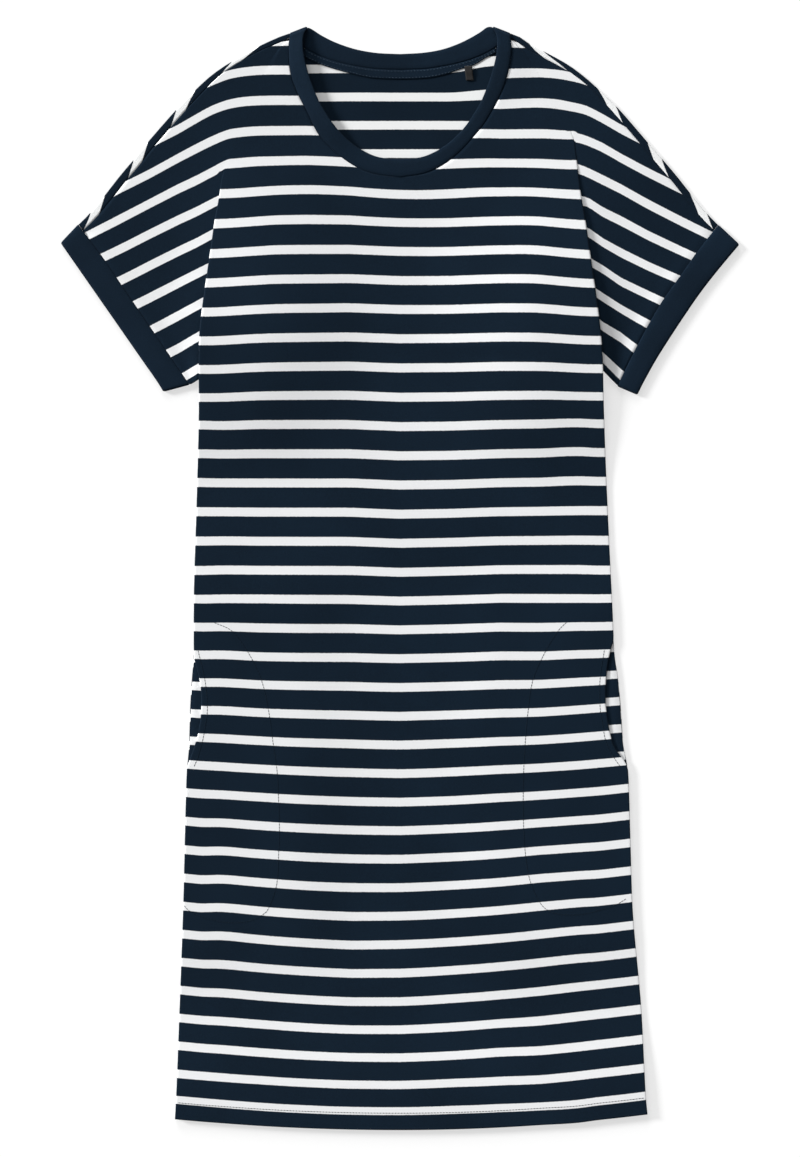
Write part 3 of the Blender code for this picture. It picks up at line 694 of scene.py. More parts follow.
    def stripe(self, across: float, down: float, row: float) -> float:
        """The stripe number at a point: on the front that is its row.

        Args:
            across: the point's distance from the middle.
            down: the point's distance down.
            row: the grid row that the point is on.

        Returns:
            A number that is whole in the middle of each white stripe.
        """
        if self.front:
            return row
        sizes = BACK_ROWS
        own = sizes.lower[0] + sizes.lower[1] * row + sizes.lower[2] * row * row
        share = 1 - slope(row, sizes.joining)
        if share <= 0.0:
            return own
        lean = sizes.rise * slope(across, sizes.rise_across) if self.side is Side.RIGHT else 0.0

        def above(number: float) -> bool:
            """Whether the stripe with this number lies above the point.

            Args:
                number: the stripe's number.

            Returns:
                Whether it does.
            """
            bend = sizes.bend_across - sizes.first_bend * smooth(1 - number)
            rise = sizes.steepness * sizes.softness * soft_bend((across - bend) / sizes.softness)
            rise -= lean * (1 - slope(number, sizes.rise_rows))
            return sizes.first + sizes.step * number + sizes.opening * number * number + rise < down

        return own + share * (found(above, -3.0, 12.0, 24) - own)

    def body_level(self, across: float, down: float) -> float:
        """Height of the middle surface on the body.

        Args:
            across: the distance from the middle.
            down: the distance down.

        Returns:
            The height.
        """
        if not self.front:
            return CLOTH.back_level
        bag = (slope(across, LIFT.bag_across) * slope(down, LIFT.bag_top)
               * (1 - slope(down, LIFT.bag_foot)))
        return CLOTH.front_level + CLOTH.layer * bag + 2 * CLOTH.layer * slope(down, LIFT.hem)

    def pleat_lift(self, across: float, down: float, rise: float, inner: float) -> float:
        """Extra height of the front over the pleat that lies under it.

        Args:
            across: the point's distance from the middle.
            down: the point's distance down.
            rise: how much of the pleat is there at this height, from 0 to 1.
            inner: the inner edge of the pleat.

        Returns:
            The extra height.
        """
        if not self.front:
            return 0.0
        fade = 1 - slope(down, (SLEEVE.underarm_down, LIFT.pleat_fade))
        loft = SLEEVE.loft * (1 - slope(down, SLEEVE.loft_fade))
        near = slope(across, (inner - SLEEVE.lap, SLEEVE.lap - 6.0))
        return (4 * CLOTH.layer + loft) * rise * fade * near

    def neck_lift(self, across: float, down: float, start: float) -> float:
        """Extra height of the front beside the neckband, near the shoulder.

        Args:
            across: the distance from the middle.
            down: the distance down.
            start: where the panel starts, across.

        Returns:
            The extra height.
        """
        if not self.front:
            return 0.0
        return LIFT.neck * (1 - slope(down, LIFT.neck_down)) * (1 - slope(across, (start, LIFT.neck_across)))

    def full_row(self, start: Plan, end: Plan, start_row: float, end_row: float) -> list[Point]:
        """A row from the neck or the middle through the pleat to the shoulder or the cuff.

        Args:
            start: its first point in the plane.
            end: its last point in the plane.
            start_row: the stripe row at the start.
            end_row: the stripe row at the end.

        Returns:
            The row's points.
        """
        length = end[0] - start[0]

        def row_here(across: float) -> float:
            """The stripe row at a place of this line."""
            return start_row + (end_row - start_row) * slope(across, (start[0], max(1.0, length)))

        fold_across = Outline.sides.read(200.0, self.column)
        for _ in range(10):
            fold_down = self.body_down(row_here(fold_across), fold_across)
            fold_across = Outline.sides.read(max(Outline.sides.rows[0][0], fold_down), self.column)
        below = fold_down - SLEEVE.apex_down[self.side.value]
        fold, rise = slope(below, SLEEVE.fold), slope(below, SLEEVE.rise)
        depth = max(SLEEVE.least_depth, SLEEVE.pleat_share * below)
        crease = min(Outline.crease.read(fold_down, clamp=True),
                     start[0] + SLEEVE.crease_at_most * length)
        half = min(SLEEVE.crease_half, SLEEVE.crease_half_share * length)
        inner = fold_across - depth
        turn = min(CLOTH.turn, depth / 2)
        step = -CLOTH.layer if self.front else CLOTH.layer
        top = 4 * CLOTH.layer if self.front else 0.0
        root = 2 * CLOTH.layer
        base = CLOTH.front_level if self.front else CLOTH.back_level
        drop = SLEEVE.return_drop * max(0.0, below)
        round_share = 1 - SLEEVE.steep * (1 - slope(depth, SLEEVE.steep_fade))
        loft = SLEEVE.loft * (1 - slope(fold_down, SLEEVE.loft_fade)) if self.front else 0.0
        folded = [(fold_across - turn * (1 - out), fold_down, top + loft * (1 - up) + step * up * round_share)
                  for out, up in self.round]
        folded += [(inner + turn * (1 - out), fold_down + drop, top + step * (2 - (1 - up) * round_share))
                   for out, up in self.round]
        open_across = [crease + half * (2 * k / (len(folded) - 1) - 1) for k in range(len(folded))]
        spread = crease + 1.35 * half
        reach = spread + fold * (fold_across + SLEEVE.past_fold - spread)
        spread_end = open_across[0] - 0.5 * half
        body_end = spread_end + fold * (fold_across - SLEEVE.before_fold - spread_end)

        points: list[Point] = []
        for share in self.body_shares:
            across = start[0] + (body_end - start[0]) * share
            row = row_here(across)
            flat = self.arm_down(row, across)
            down = flat + fold * (self.body_down(row, across) - flat) if share else start[1]
            level = (self.body_level(across, down) + self.neck_lift(across, down, start[0])
                     + self.pleat_lift(across, down, rise, inner))
            points.append((across, down, level, self.stripe(across, down, row)))
        for (a, d, lift), flat_across in zip(folded, open_across):
            row = row_here(flat_across + fold * (fold_across - flat_across))
            flat_down = self.arm_down(row, flat_across)
            across, down = flat_across + fold * (a - flat_across), flat_down + fold * (d - flat_down)
            points.append((across, down, base + rise * lift, self.stripe(across, down, row)))
        row = row_here(reach)
        first = self.arm_down(row, reach)
        points.append((reach, first, base + root * rise, self.stripe(reach, first, row)))
        span = end[0] - reach
        fall = min(SLEEVE.fall, 0.85 * span)
        room = min(2.0, 0.3 * span * self.sleeve_shares[-2])
        for share in self.sleeve_shares:
            across = reach + span * share
            if share < 1.0:
                across = min(across, reach + (span - room) * share / self.sleeve_shares[-2])
            row = row_here(across)
            down = end[1] if share == 1.0 else self.arm_down(row, across)
            lift = root * rise * (1 - smooth((across - reach) / fall))
            if self.front:
                lift += (SLEEVE.cuff_lift * slope(end_row, SLEEVE.cuff_rows)
                         * (1 - smooth((end[0] - across) / SLEEVE.cuff_reach)))
            points.append((across, down, base + lift, self.stripe(across, down, row)))
        return points

    def side_row(self, row: float) -> list[Point]:
        """A row from the middle to the side, below the arm.

        Args:
            row: the stripe row.

        Returns:
            The row's points.
        """
        across = self.side_across(400.0)
        for _ in range(10):
            down = self.body_down(row, across)
            across = self.edge_across(down)
        inner = across - SLEEVE.side_lap
        points: list[Point] = []
        places = [(across - SLEEVE.before_fold) * share for share in self.body_shares]
        for here in [*places, across - SLEEVE.edge_strip, across]:
            down = self.body_down(row, here)
            level = self.body_level(here, down) + self.pleat_lift(here, down, 1.0, inner)
            points.append((here, down, level, self.stripe(here, down, row)))
        if self.front:
            across, down, level, stripe = points[-1]
            points[-1] = (across, down, level - SLEEVE.edge_dip, stripe)
        return points

    def hem_rows(self) -> list[list[Point]]:
        """The last rows: round the edge of the hem and back up inside.

        Returns:
            The rows.
        """
        edge = self.side_row(HEM.row)
        step = -CLOTH.layer if self.front else CLOTH.layer
        turns = [(CLOTH.turn * (1 - far), rise) for far, rise in self.round]
        turns += [(HEM.turn_up * k / 3, 1.0) for k in (1, 2, 3)]
        out = []
        for k, (back, lift) in enumerate(turns):
            narrow = self.edge_across(edge[-1][1] - back) / edge[-1][0]
            inside = HEM.row + (0.01 * k if back < CLOTH.turn else 0.05 + back / 29.0)
            out.append([(a * narrow, d - back, z + step * lift, self.stripe(a, d, inside))
                        for a, d, z, _ in edge])
        return out

    def wrap(self, point: Plan, share: float) -> tuple[list[Point], Plan]:
        """The back's cloth round the edge of the shoulder to the seam on the front.

        Args:
            point: where the row meets the edge.
            share: how far along the edge that is.

        Returns:
            The points that go round, and where the flat part of the row stops.
        """
        _, (dx, dy) = self.edge.at(share)
        reach = Outline.setback.read(point[1], self.column) - CLOTH.seam_gap / 2
        edge, seam = self.edge_stripes.read(point[1]), self.seam_stripes.read(point[1])
        places = [(CLOTH.turn * (1 - far), rise) for far, rise in self.round[1:]]
        places += [(CLOTH.turn + (reach - CLOTH.turn) * k / 3, 1.0) for k in (1, 2, 3)]
        out: list[Point] = []
        for distance, lift in places:
            stripe = edge + (seam - edge) * (distance / reach if lift > 0.5 else 0.0)
            out.append((point[0] - dy * distance, point[1] + dx * distance,
                        CLOTH.back_level + CLOTH.layer * lift, stripe))
        return out, (point[0] - dy * CLOTH.turn, point[1] + dx * CLOTH.turn)

    @staticmethod
    def matched(line: list[Point], stripe: float, reach: float = 80.0) -> list[Point]:
        """A row of the back with its stripes led over to the one it has to end on.

        Args:
            line: the row.
            stripe: the stripe number at its end.
            reach: how far before the end the change starts.

        Returns:
            The row with its new stripe numbers.
        """
        start, miss = line[-1][0] - reach, stripe - line[-1][3]
        return [(across, down, level, own + miss * slope(across, (start, reach)))
                for across, down, level, own in line]

    def starts(self) -> list[Plan]:
        """Where the rows begin: along the neckband and, on the back, down the middle below it.

        Returns:
            The first point of each row.
        """
        if self.front:
            line = Path([(r[0] + r[4 + self.side.value], r[1])
                         for r in rounded(Outline.neck_front, DETAIL.upper)]).moved(-CLOTH.seam_gap)
            return line.points[DETAIL.upper:]
        line = Path([r[:2] for r in rounded(Outline.neck_back, DETAIL.upper)]).moved(-CLOTH.seam_gap)
        downs = [(d,) for d in (Outline.neck_back[-1][1], *Outline.back_middle_starts)]
        return line.points + [(0.0, d[0]) for d in rounded(downs, DETAIL.upper)[1:]]

    def tip_row(self, start: Plan) -> list[Point]:
        """The row at the top of the shoulder, whose flat part is a single point.

        Args:
            start: the row's first point.

        Returns:
            The row's points.
        """
        count = len(self.body_shares) + 2 * len(self.round) + 1 + len(self.sleeve_shares)
        if self.front:
            extra, point = [], (start[0] + CLOTH.seam_gap, start[1])
        else:
            extra, point = self.wrap(self.shoulder.at(0.0)[0], 0.0)
        level = CLOTH.front_level if self.front else CLOTH.back_level
        return [(*point, level, self.stripe(*point, self.row_at(*point)))] * count + extra

    def edge_row(self, start: Plan, start_row: float, share: float) -> list[Point]:
        """A row that ends on the shoulder, and on the back goes round its edge.

        Args:
            start: the row's first point.
            start_row: the stripe row there.
            share: how far along the shoulder it ends.

        Returns:
            The row's points.
        """
        end, _ = self.shoulder.at(share)
        end_row = self.row_at(*end)
        if self.front:
            return self.full_row(start, end, start_row, end_row)
        extra, end = self.wrap(end, share)
        return self.matched(self.full_row(start, end, start_row, end_row), extra[0][3]) + extra

    def rows(self) -> list[list[Point]]:
        """All rows from the neck to the hem.

        Returns:
            The rows, each with its points.
        """
        starts = self.starts()
        corner = self.row_at(*self.shoulder.at(1.0)[0])
        ends = [r[0] for r in rounded([(r,) for r in Outline.cuff_end_rows], DETAIL.upper)]
        between = [corner + (ends[0] - corner) * k / DETAIL.upper for k in range(1, DETAIL.upper)]
        on_cuff = between + ends
        last_edge = (Outline.edge_rows - 1) * DETAIL.upper
        out = [self.tip_row(starts[0])]
        for i, start in enumerate(starts[1:], 1):
            on_middle = start[0] <= 0.01
            if on_middle:
                start = (0.0, start[1])
            start_row = self.row_at(*start, arm=not on_middle)
            if i <= last_edge:
                out.append(self.edge_row(start, start_row, i / last_edge))
                continue
            row = on_cuff[min(i - last_edge, len(on_cuff)) - 1]
            out.append(self.full_row(start, self.end_on_cuff(row), start_row, row))
        count = round((SLEEVE.underarm_row - row) / DETAIL.pleat_step)
        step = (SLEEVE.underarm_row - row) / count
        for here in (row + step * j for j in range(1, count + 1)):
            out.append(self.full_row((0.0, self.body_down(here, 0.0)), self.end_on_cuff(here), here, here))
        span = HEM.row - SLEEVE.underarm_row
        count = round(span / DETAIL.body_step)
        out += [self.side_row(SLEEVE.underarm_row + span * j / count) for j in range(1, count)]
        return out + self.hem_rows()


def spot(across: float, down: float, level: float, sign: int = 1) -> Vector:
    """A point of the laid cloth in metres."""
    return Vector((sign * across * MM, (MIDDLE_DOWN - down) * MM, level * MM))


def fresh_grid(bm: bmesh.types.BMesh, columns: int, rows: int) -> dict[bmesh.types.BMVert, tuple[int, int]]:
    """Make a flat grid.

    Args:
        bm: the bmesh to make it in.
        columns: how many vertices a row has.
        rows: how many rows there are.

    Returns:
        The row and the column of each of its vertices.
    """
    made = bmesh.ops.create_grid(bm, x_segments=columns - 1, y_segments=rows - 1, size=1.0)
    return {v: (round((v.co.y + 1) / 2 * (rows - 1)), round((v.co.x + 1) / 2 * (columns - 1)))
            for v in made["verts"]}


def placed(name: str, bm: bmesh.types.BMesh) -> bpy.types.Object:
    """Make a bmesh a smooth object of the scene.

    Args:
        name: the name of the object.
        bm: the bmesh, which is freed.

    Returns:
        The object, in the scene.
    """
    for f in bm.faces:
        f.smooth = True
    mesh = bpy.data.meshes.new(name)
    bm.to_mesh(mesh)
    bm.free()
    obj = bpy.data.objects.new(name, mesh)
    bpy.context.scene.collection.objects.link(obj)
    return obj


def dressed(
    obj: bpy.types.Object, material: bpy.types.Material, node: str | None
) -> bpy.types.Object:
    """Give a piece its material and its place in the part.

    Args:
        obj: the piece.
        material: its finish.
        node: the CAD node that it stands for, if any.

    Returns:
        The piece.
    """
    obj.data.materials.clear()
    obj.data.materials.append(material)
    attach(obj, "root")
    if node:
        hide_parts(node)
    return obj


@dataclass
class Lattice:
    """A cloth shaped from bmesh grids whose rows may be of different lengths."""

    name: str
    bm: bmesh.types.BMesh = field(default_factory=bmesh.new)

    def add(self, rows: Sequence[Sequence[Point]], sign: int, flip: bool) -> None:
        """Lay a grid along rows of points.

        Args:
            rows: the points, row by row.
            sign: -1 to lay it on the left, 1 on the right.
            flip: whether its faces are turned over.
        """
        uv = self.bm.loops.layers.uv.get("cloth") or self.bm.loops.layers.uv.new("cloth")
        places = fresh_grid(self.bm, max(len(row) for row in rows), len(rows))
        spare, value = [], {}
        for v, (line, column) in places.items():
            if column >= len(rows[line]):
                spare.append(v)
                continue
            across, down, level, stripe = rows[line][column]
            value[v] = (across * sign * 0.01, stripe)
            v.co = spot(across, down, level, sign)
        faces = {f for v in places for f in v.link_faces}
        for f in faces:
            for loop in f.loops:
                if loop.vert in value:
                    loop[uv].uv = value[loop.vert]
        bmesh.ops.delete(self.bm, geom=spare, context="VERTS")
        if flip:
            bmesh.ops.reverse_faces(self.bm, faces=[f for f in faces if f.is_valid])

    def finish(self, wall: float) -> bpy.types.Object:
        """Close the seams of the grid and give the cloth its wall.

        Args:
            wall: thickness of the cloth.

        Returns:
            The object, in the scene.
        """
        bmesh.ops.remove_doubles(self.bm, verts=self.bm.verts, dist=WELD)
        obj = placed(self.name, self.bm)
        modifier = obj.modifiers.new("wall", "SOLIDIFY")
        modifier.thickness, modifier.offset = wall * MM, 0.0
        modifier.use_quality_normals = True
        modifier = obj.modifiers.new("even", "WEIGHTED_NORMAL")
        modifier.weight, modifier.keep_sharp = 50, False
        return obj


@dataclass
class Band:
    """A closed band of doubled cloth with rounded edges, along a ring of stations."""

    name: str
    wall: float = CLOTH.band
    # share of the width, share of half the wall: one face of the section
    places: tuple[Plan, ...] = (
        (0.0, 0.3), (0.015, 0.7), (0.06, 0.96), (0.3, 1.0),
        (0.7, 1.0), (0.91, 0.97), (0.965, 0.7), (1.0, -0.1))
    stations: list[list[Vector]] = field(default_factory=list)

    def station(self, a: Vector, b: Vector, up: Vector, crown: float = 0.0) -> None:
        """Add a section.

        Args:
            a: one edge of the band.
            b: the other edge.
            up: the direction square to the band's surface.
            crown: how much the middle stands proud.
        """
        section = []
        for sense in (1, -1):
            for x, high in self.places[::sense]:
                proud = crown * MM * math.sin(math.pi * x) if sense > 0 else 0.0
                section.append(a + (b - a) * x + up * (sense * high * self.wall / 2 * MM + proud))
        self.stations.append(section)

    def build(self) -> bpy.types.Object:
        """Make the ring.

        Returns:
            The object, in the scene.
        """
        rows = self.stations + [self.stations[0]]
        count = len(rows[0])
        bm = bmesh.new()
        uv = bm.loops.layers.uv.new("cloth")
        places = fresh_grid(bm, count + 1, len(rows))
        for v, (line, column) in places.items():
            v.co = rows[line][column % count]
        for f in bm.faces:
            for loop in f.loops:
                line, column = places[loop.vert]
                loop[uv].uv = (column / count, line * 0.1)
        bmesh.ops.remove_doubles(bm, verts=bm.verts, dist=WELD)
        bmesh.ops.recalc_face_normals(bm, faces=bm.faces)
        return placed(self.name, bm)


class Nodes:
    """Short ways to build a material's node tree."""

    def __init__(self, name: str) -> None:
        """Start a material with a Principled BSDF.

        Args:
            name: the material's name.
        """
        self.material = bpy.data.materials.new(name)
        self.material.use_nodes = True
        self.tree = self.material.node_tree
        self.shader = next(n for n in self.tree.nodes if n.type == "BSDF_PRINCIPLED")

    def new(self, kind: str, **settings: object) -> bpy.types.Node:
        """Add a node and set its options.

        Args:
            kind: the node's type.
            **settings: its options.

        Returns:
            The node.
        """
        node = self.tree.nodes.new(kind)
        for key, value in settings.items():
            setattr(node, key, value)
        return node

    def link(self, source: object, target: object) -> None:
        """Join an output to an input."""
        self.tree.links.new(source, target)

    def math(self, operation: str, a: object, b: object = None) -> object:
        """A Math node; each input is a number or an output.

        Args:
            operation: what it works out.
            a: the first.
            b: the second.

        Returns:
            The node's output.
        """
        node = self.new("ShaderNodeMath", operation=operation)
        for k, value in enumerate((a, b)):
            if value is None:
                continue
            if isinstance(value, (int, float)):
                node.inputs[k].default_value = value
            else:
                self.link(value, node.inputs[k])
        return node.outputs[0]

    def blend(self, a: object, b: object, share: float) -> object:
        """Add two values up, the second with its share of the sum."""
        return self.math("ADD", self.math("MULTIPLY", a, 1 - share), self.math("MULTIPLY", b, share))

    def ramp(self, value: object, low: float, high: float, a: float = 0.0, b: float = 1.0) -> object:
        """Carry a value from one range to another, smoothly.

        Args:
            value: the value.
            low: where its range starts.
            high: where its range ends.
            a: the result at the start.
            b: the result at the end.

        Returns:
            The node's output.
        """
        node = self.new("ShaderNodeMapRange", interpolation_type="SMOOTHSTEP")
        self.link(value, node.inputs["Value"])
        for key, number in (("From Min", low), ("From Max", high), ("To Min", a), ("To Max", b)):
            node.inputs[key].default_value = number
        return node.outputs["Result"]

    def mix(self, share: object, a: object, b: object) -> object:
        """Mix two colours.

        Args:
            share: the share of the second.
            a: the first.
            b: the second.

        Returns:
            The node's output.
        """
        node = self.new("ShaderNodeMix", data_type="RGBA")
        for key, value in (("Factor", share), ("A", a), ("B", b)):
            socket = next(s for s in node.inputs if s.name == key and s.enabled)
            if isinstance(value, tuple):
                socket.default_value = (*value, 1.0)
            else:
                self.link(value, socket)
        return next(s for s in node.outputs if s.enabled)

    def noise(self, vector: object, scale: float, detail: float) -> object:
        """A Noise Texture's value.

        Args:
            vector: where it is read.
            scale: its scale.
            detail: its detail.

        Returns:
            The node's output.
        """
        node = self.new("ShaderNodeTexNoise")
        node.inputs["Scale"].default_value = scale
        node.inputs["Detail"].default_value = detail
        self.link(vector, node.inputs["Vector"])
        return node.outputs["Fac"]

    def toned(self, tone: object, colour: Colour, low: float, high: float) -> object:
        """A colour that is a little darker and lighter from place to place."""
        return self.mix(self.ramp(tone, *TONES), tuple(c * low for c in colour),
                        tuple(min(1.0, c * high) for c in colour))


@dataclass(frozen=True)
class Yarn:
    """Colours and hand of a cloth; its loops are in metres."""

    dark: Colour = (0.0031, 0.0107, 0.0219)
    light: Colour = (0.80, 0.81, 0.82)
    roughness: float = 0.92
    rough_play: float = 0.05
    specular: float = 0.06
    sheen: float = 0.025
    sheen_roughness: float = 0.6
    wale: float = 0.0011
    course: float = 0.0009
    relief: float = 0.12
    loop_height: float = 0.0003

    def knit(self, nodes: Nodes) -> tuple[object, object]:
        """Loops of a fine jersey, from the piece's own place.

        Args:
            nodes: the material to build in.

        Returns:
            The height of the loops, and the Object coordinates.
        """
        place = nodes.new("ShaderNodeTexCoord").outputs["Object"]
        split = nodes.new("ShaderNodeSeparateXYZ")
        nodes.link(place, split.inputs[0])
        wave = nodes.math("MULTIPLY", split.outputs["X"], 2 * math.pi / self.wale)
        wales = nodes.math("ABSOLUTE", nodes.math("SINE", wave))
        row = nodes.math("MULTIPLY", split.outputs["Y"], 2 * math.pi / self.course)
        chevron = nodes.math("MULTIPLY", wales, 1.4)
        courses = nodes.math("SINE", nodes.math("ADD", row, chevron))
        return nodes.blend(wales, courses, 0.3), place

    def finish(self, nodes: Nodes, height: object, tone: object) -> bpy.types.Material:
        """Give a cloth its roughness, sheen and the relief of its loops.

        Args:
            nodes: the material.
            height: the height of its loops.
            tone: the value that varies over the cloth.

        Returns:
            The material.
        """
        rough = nodes.ramp(tone, *TONES, self.roughness + self.rough_play, self.roughness - self.rough_play)
        inputs = nodes.shader.inputs
        nodes.link(rough, inputs["Roughness"])
        inputs["Specular IOR Level"].default_value = self.specular
        inputs["Sheen Weight"].default_value = self.sheen
        inputs["Sheen Roughness"].default_value = self.sheen_roughness
        bump = nodes.new("ShaderNodeBump")
        bump.inputs["Strength"].default_value = self.relief
        bump.inputs["Distance"].default_value = self.loop_height
        nodes.link(height, bump.inputs["Height"])
        nodes.link(bump.outputs[0], inputs["Normal"])
        return nodes.material

    def striped(self, name: str) -> bpy.types.Material:
        """Jersey with white stripes that follow the cloth's own rows.

        Args:
            name: the material's name.

        Returns:
            The material.
        """
        nodes = Nodes(name)
        height, place = self.knit(nodes)
        split = nodes.new("ShaderNodeSeparateXYZ")
        nodes.link(nodes.new("ShaderNodeUVMap", uv_map="cloth").outputs[0], split.inputs[0])
        # half a step more, so that a stripe's middle is halfway between two whole numbers
        row = nodes.math("ADD", split.outputs["Y"], 100.5)
        for scale in (700.0, 14.0):
            uneven = nodes.math("SUBTRACT", nodes.noise(place, scale, 1.0), 0.5)
            row = nodes.math("ADD", row, nodes.math("MULTIPLY", uneven, 0.02))
        away = nodes.math("ABSOLUTE", nodes.math("SUBTRACT", nodes.math("FRACT", row), 0.5))
        half = STRIPES.white_share / 2
        white = nodes.ramp(away, half - STRIPES.blur, half + STRIPES.blur, 1.0, 0.0)
        tone = nodes.blend(nodes.noise(place, 9.0, 3.0), nodes.noise(place, 900.0, 2.0), 0.5)
        dark = nodes.toned(tone, self.dark, 0.82, 1.2)
        light = nodes.toned(tone, self.light, 0.965, 1.02)
        nodes.link(nodes.mix(white, dark, light), nodes.shader.inputs["Base Color"])
        return self.finish(nodes, height, tone)

    def plain(self, name: str) -> bpy.types.Material:
        """Plain jersey of a band, tape or thread.

        Args:
            name: the material's name.

        Returns:
            The material.
        """
        nodes = Nodes(name)
        height, place = self.knit(nodes)
        tone = nodes.blend(nodes.noise(place, 16.0, 3.0), nodes.noise(place, 1100.0, 2.0), 0.6)
        nodes.link(nodes.toned(tone, self.dark, 0.78, 1.25), nodes.shader.inputs["Base Color"])
        return self.finish(nodes, height, tone)


@dataclass
class Panel:
    """The front or the back: both sides in one cloth, with the sleeves."""

    face: Face
    wall: float = CLOTH.jersey

    def __post_init__(self) -> None:
        """Lay out both sides."""
        self.name = self.face.name.lower()
        self.halves = {side: HalfLayout(side, self.face) for side in Side}

    def build(self, material: bpy.types.Material) -> bpy.types.Object:
        """Make the cloth.

        Args:
            material: its finish.

        Returns:
            The cloth.
        """
        lattice = Lattice(f"{self.name}_cloth")
        for side, half in self.halves.items():
            lattice.add(half.rows(), side.sign, side is Side.RIGHT)
        return dressed(lattice.finish(self.wall), material, self.name)


@dataclass
class Neckband:
    """A closed ring: the front lies on top and folds over at each shoulder into the back.

    The levels are those of the band's middle surface: of the back, of the front at the shoulder, and
    of the front's seam and free edge in the middle.
    """

    back_level: float = 1.0
    top_level: float = 3.9
    seam_level: float = 2.45
    free_level: float = 2.9
    shoulder: Plan = (62.0, 48.0)
    stand: float = 4.2
    stand_starts: Plan = (30.0, 22.0)
    stand_ends: Plan = (130.0, 42.0)
    crown: float = 0.15
    fold_narrowing: float = 0.04
    fold_steps: int = 8

    def levels(self, down: float, side: Side) -> Plan:
        """Height of the front part at its seam and at its free edge, which stands up on the left.

        Args:
            down: the distance down.
            side: the side of the garment.

        Returns:
            The two heights.
        """
        near = 1 - slope(down, self.shoulder)
        stand = 0.0
        if side is Side.LEFT:
            stand = self.stand * slope(down, self.stand_starts) * (1 - slope(down, self.stand_ends))
        return (self.seam_level + (self.top_level - self.seam_level) * near,
                self.free_level + (self.top_level - self.free_level) * near + stand)

    def half(self, side: Side) -> list[tuple[Vector, Vector, Vector, float]]:
        """The stations of one side, from the middle of the front to the middle of the back.

        Args:
            side: the side of the garment.

        Returns:
            For each station its two edges, the way up and how proud its middle is.
        """
        sign = side.sign
        front, back = rounded(Outline.neck_front, 4), rounded(Outline.neck_back, 4)
        fold = front[0]
        length = math.dist(fold[:2], fold[2:4])
        turn = (self.top_level - self.back_level) / 2
        inward = Vector((-(fold[1] - fold[3]) / length, (fold[0] - fold[2]) / length))
        out = Vector((-inward.x * sign, inward.y, 0.0))
        part = []
        for row in front[:0:-1]:
            seam, free = self.levels(row[1], side)
            part.append((spot(row[2], row[3], free, sign),
                         spot(row[0] + row[4 + side.value], row[1], seam, sign), UP, self.crown))
        for k in range(self.fold_steps + 1):
            angle = math.pi * k / self.fold_steps
            shift = inward * (turn * (1 - math.sin(angle)))
            level = self.back_level + turn + turn * math.cos(angle)
            cut = self.fold_narrowing * math.sin(angle)
            a = spot(fold[2] + (fold[0] - fold[2]) * cut + shift.x,
                     fold[3] + (fold[1] - fold[3]) * cut + shift.y, level, sign)
            b = spot(fold[0] + shift.x, fold[1] + shift.y, level, sign)
            part.append((a, b, (UP * math.cos(angle) + out * math.sin(angle)).normalized(), 0.0))
        for row in back[1:]:
            part.append((spot(row[2], row[3] - row[4 + side.value], self.back_level, sign),
                         spot(row[0], row[1], self.back_level, sign), -UP, 0.0))
        return part

    def build(self, material: bpy.types.Material) -> bpy.types.Object:
        """Make the ring.

        Args:
            material: its finish.

        Returns:
            The ring.
        """
        band = Band("neckband_cloth")
        for section in self.half(Side.LEFT) + self.half(Side.RIGHT)[-2:0:-1]:
            band.station(*section)
        return dressed(band.build(), material, "neckband")


@dataclass
class Cuff:
    """A doubled band round the end of a sleeve, pressed flat."""

    side: Side
    wall: float = CLOTH.band
    gap: float = 0.4
    crown: float = 0.12
    fold_steps: int = 6

    def line(self, table: Sequence[tuple[float, ...]]) -> list[tuple[float, ...]]:
        """This side's points of a table, with finer ones between."""
        column = 2 * self.side.value
        return rounded([r[column:column + 2] for r in table], 5)

    def build(self, material: bpy.types.Material) -> bpy.types.Object:
        """Make the ring.

        Args:
            material: its finish.

        Returns:
            The ring.
        """
        sign = self.side.sign
        low, high = self.wall / 2, self.wall * 1.5 + self.gap
        turn = (high - low) / 2
        inner, outer = self.line(Outline.cuff_inner), self.line(Outline.cuff_outer)
        last = len(inner) - 1
        name = f"cuff_{self.side.name.lower()}"
        band = Band(f"{name}_cloth", self.wall)

        def fold(k: int, towards: int, angles: Sequence[float]) -> None:
            """Lead the band round one of its two folded edges.

            Args:
                k: the place on the cuff's lines.
                towards: 1 or -1, the way to the next place inside the cuff.
                angles: how far round each station is.
            """
            step = (Vector(inner[k + towards]) - Vector(inner[k])).normalized()
            out = Vector((-sign * step.x, step.y, 0.0))
            for angle in angles:
                shift = step * (turn * (1 - math.sin(angle)))
                level = (low + high) / 2 + turn * math.cos(angle)
                band.station(spot(inner[k][0] + shift.x, inner[k][1] + shift.y, level, sign),
                             spot(outer[k][0] + shift.x, outer[k][1] + shift.y, level, sign),
                             (UP * math.cos(angle) + out * math.sin(angle)).normalized())

        angles = [math.pi * k / self.fold_steps for k in range(self.fold_steps + 1)]
        for k in range(1, last):
            band.station(spot(*inner[k], high, sign), spot(*outer[k], high, sign), UP, self.crown)
        fold(last, -1, angles)
        for k in range(last - 1, 0, -1):
            band.station(spot(*inner[k], low, sign), spot(*outer[k], low, sign), -UP)
        fold(0, 1, angles[::-1])
        return dressed(band.build(), material, name)


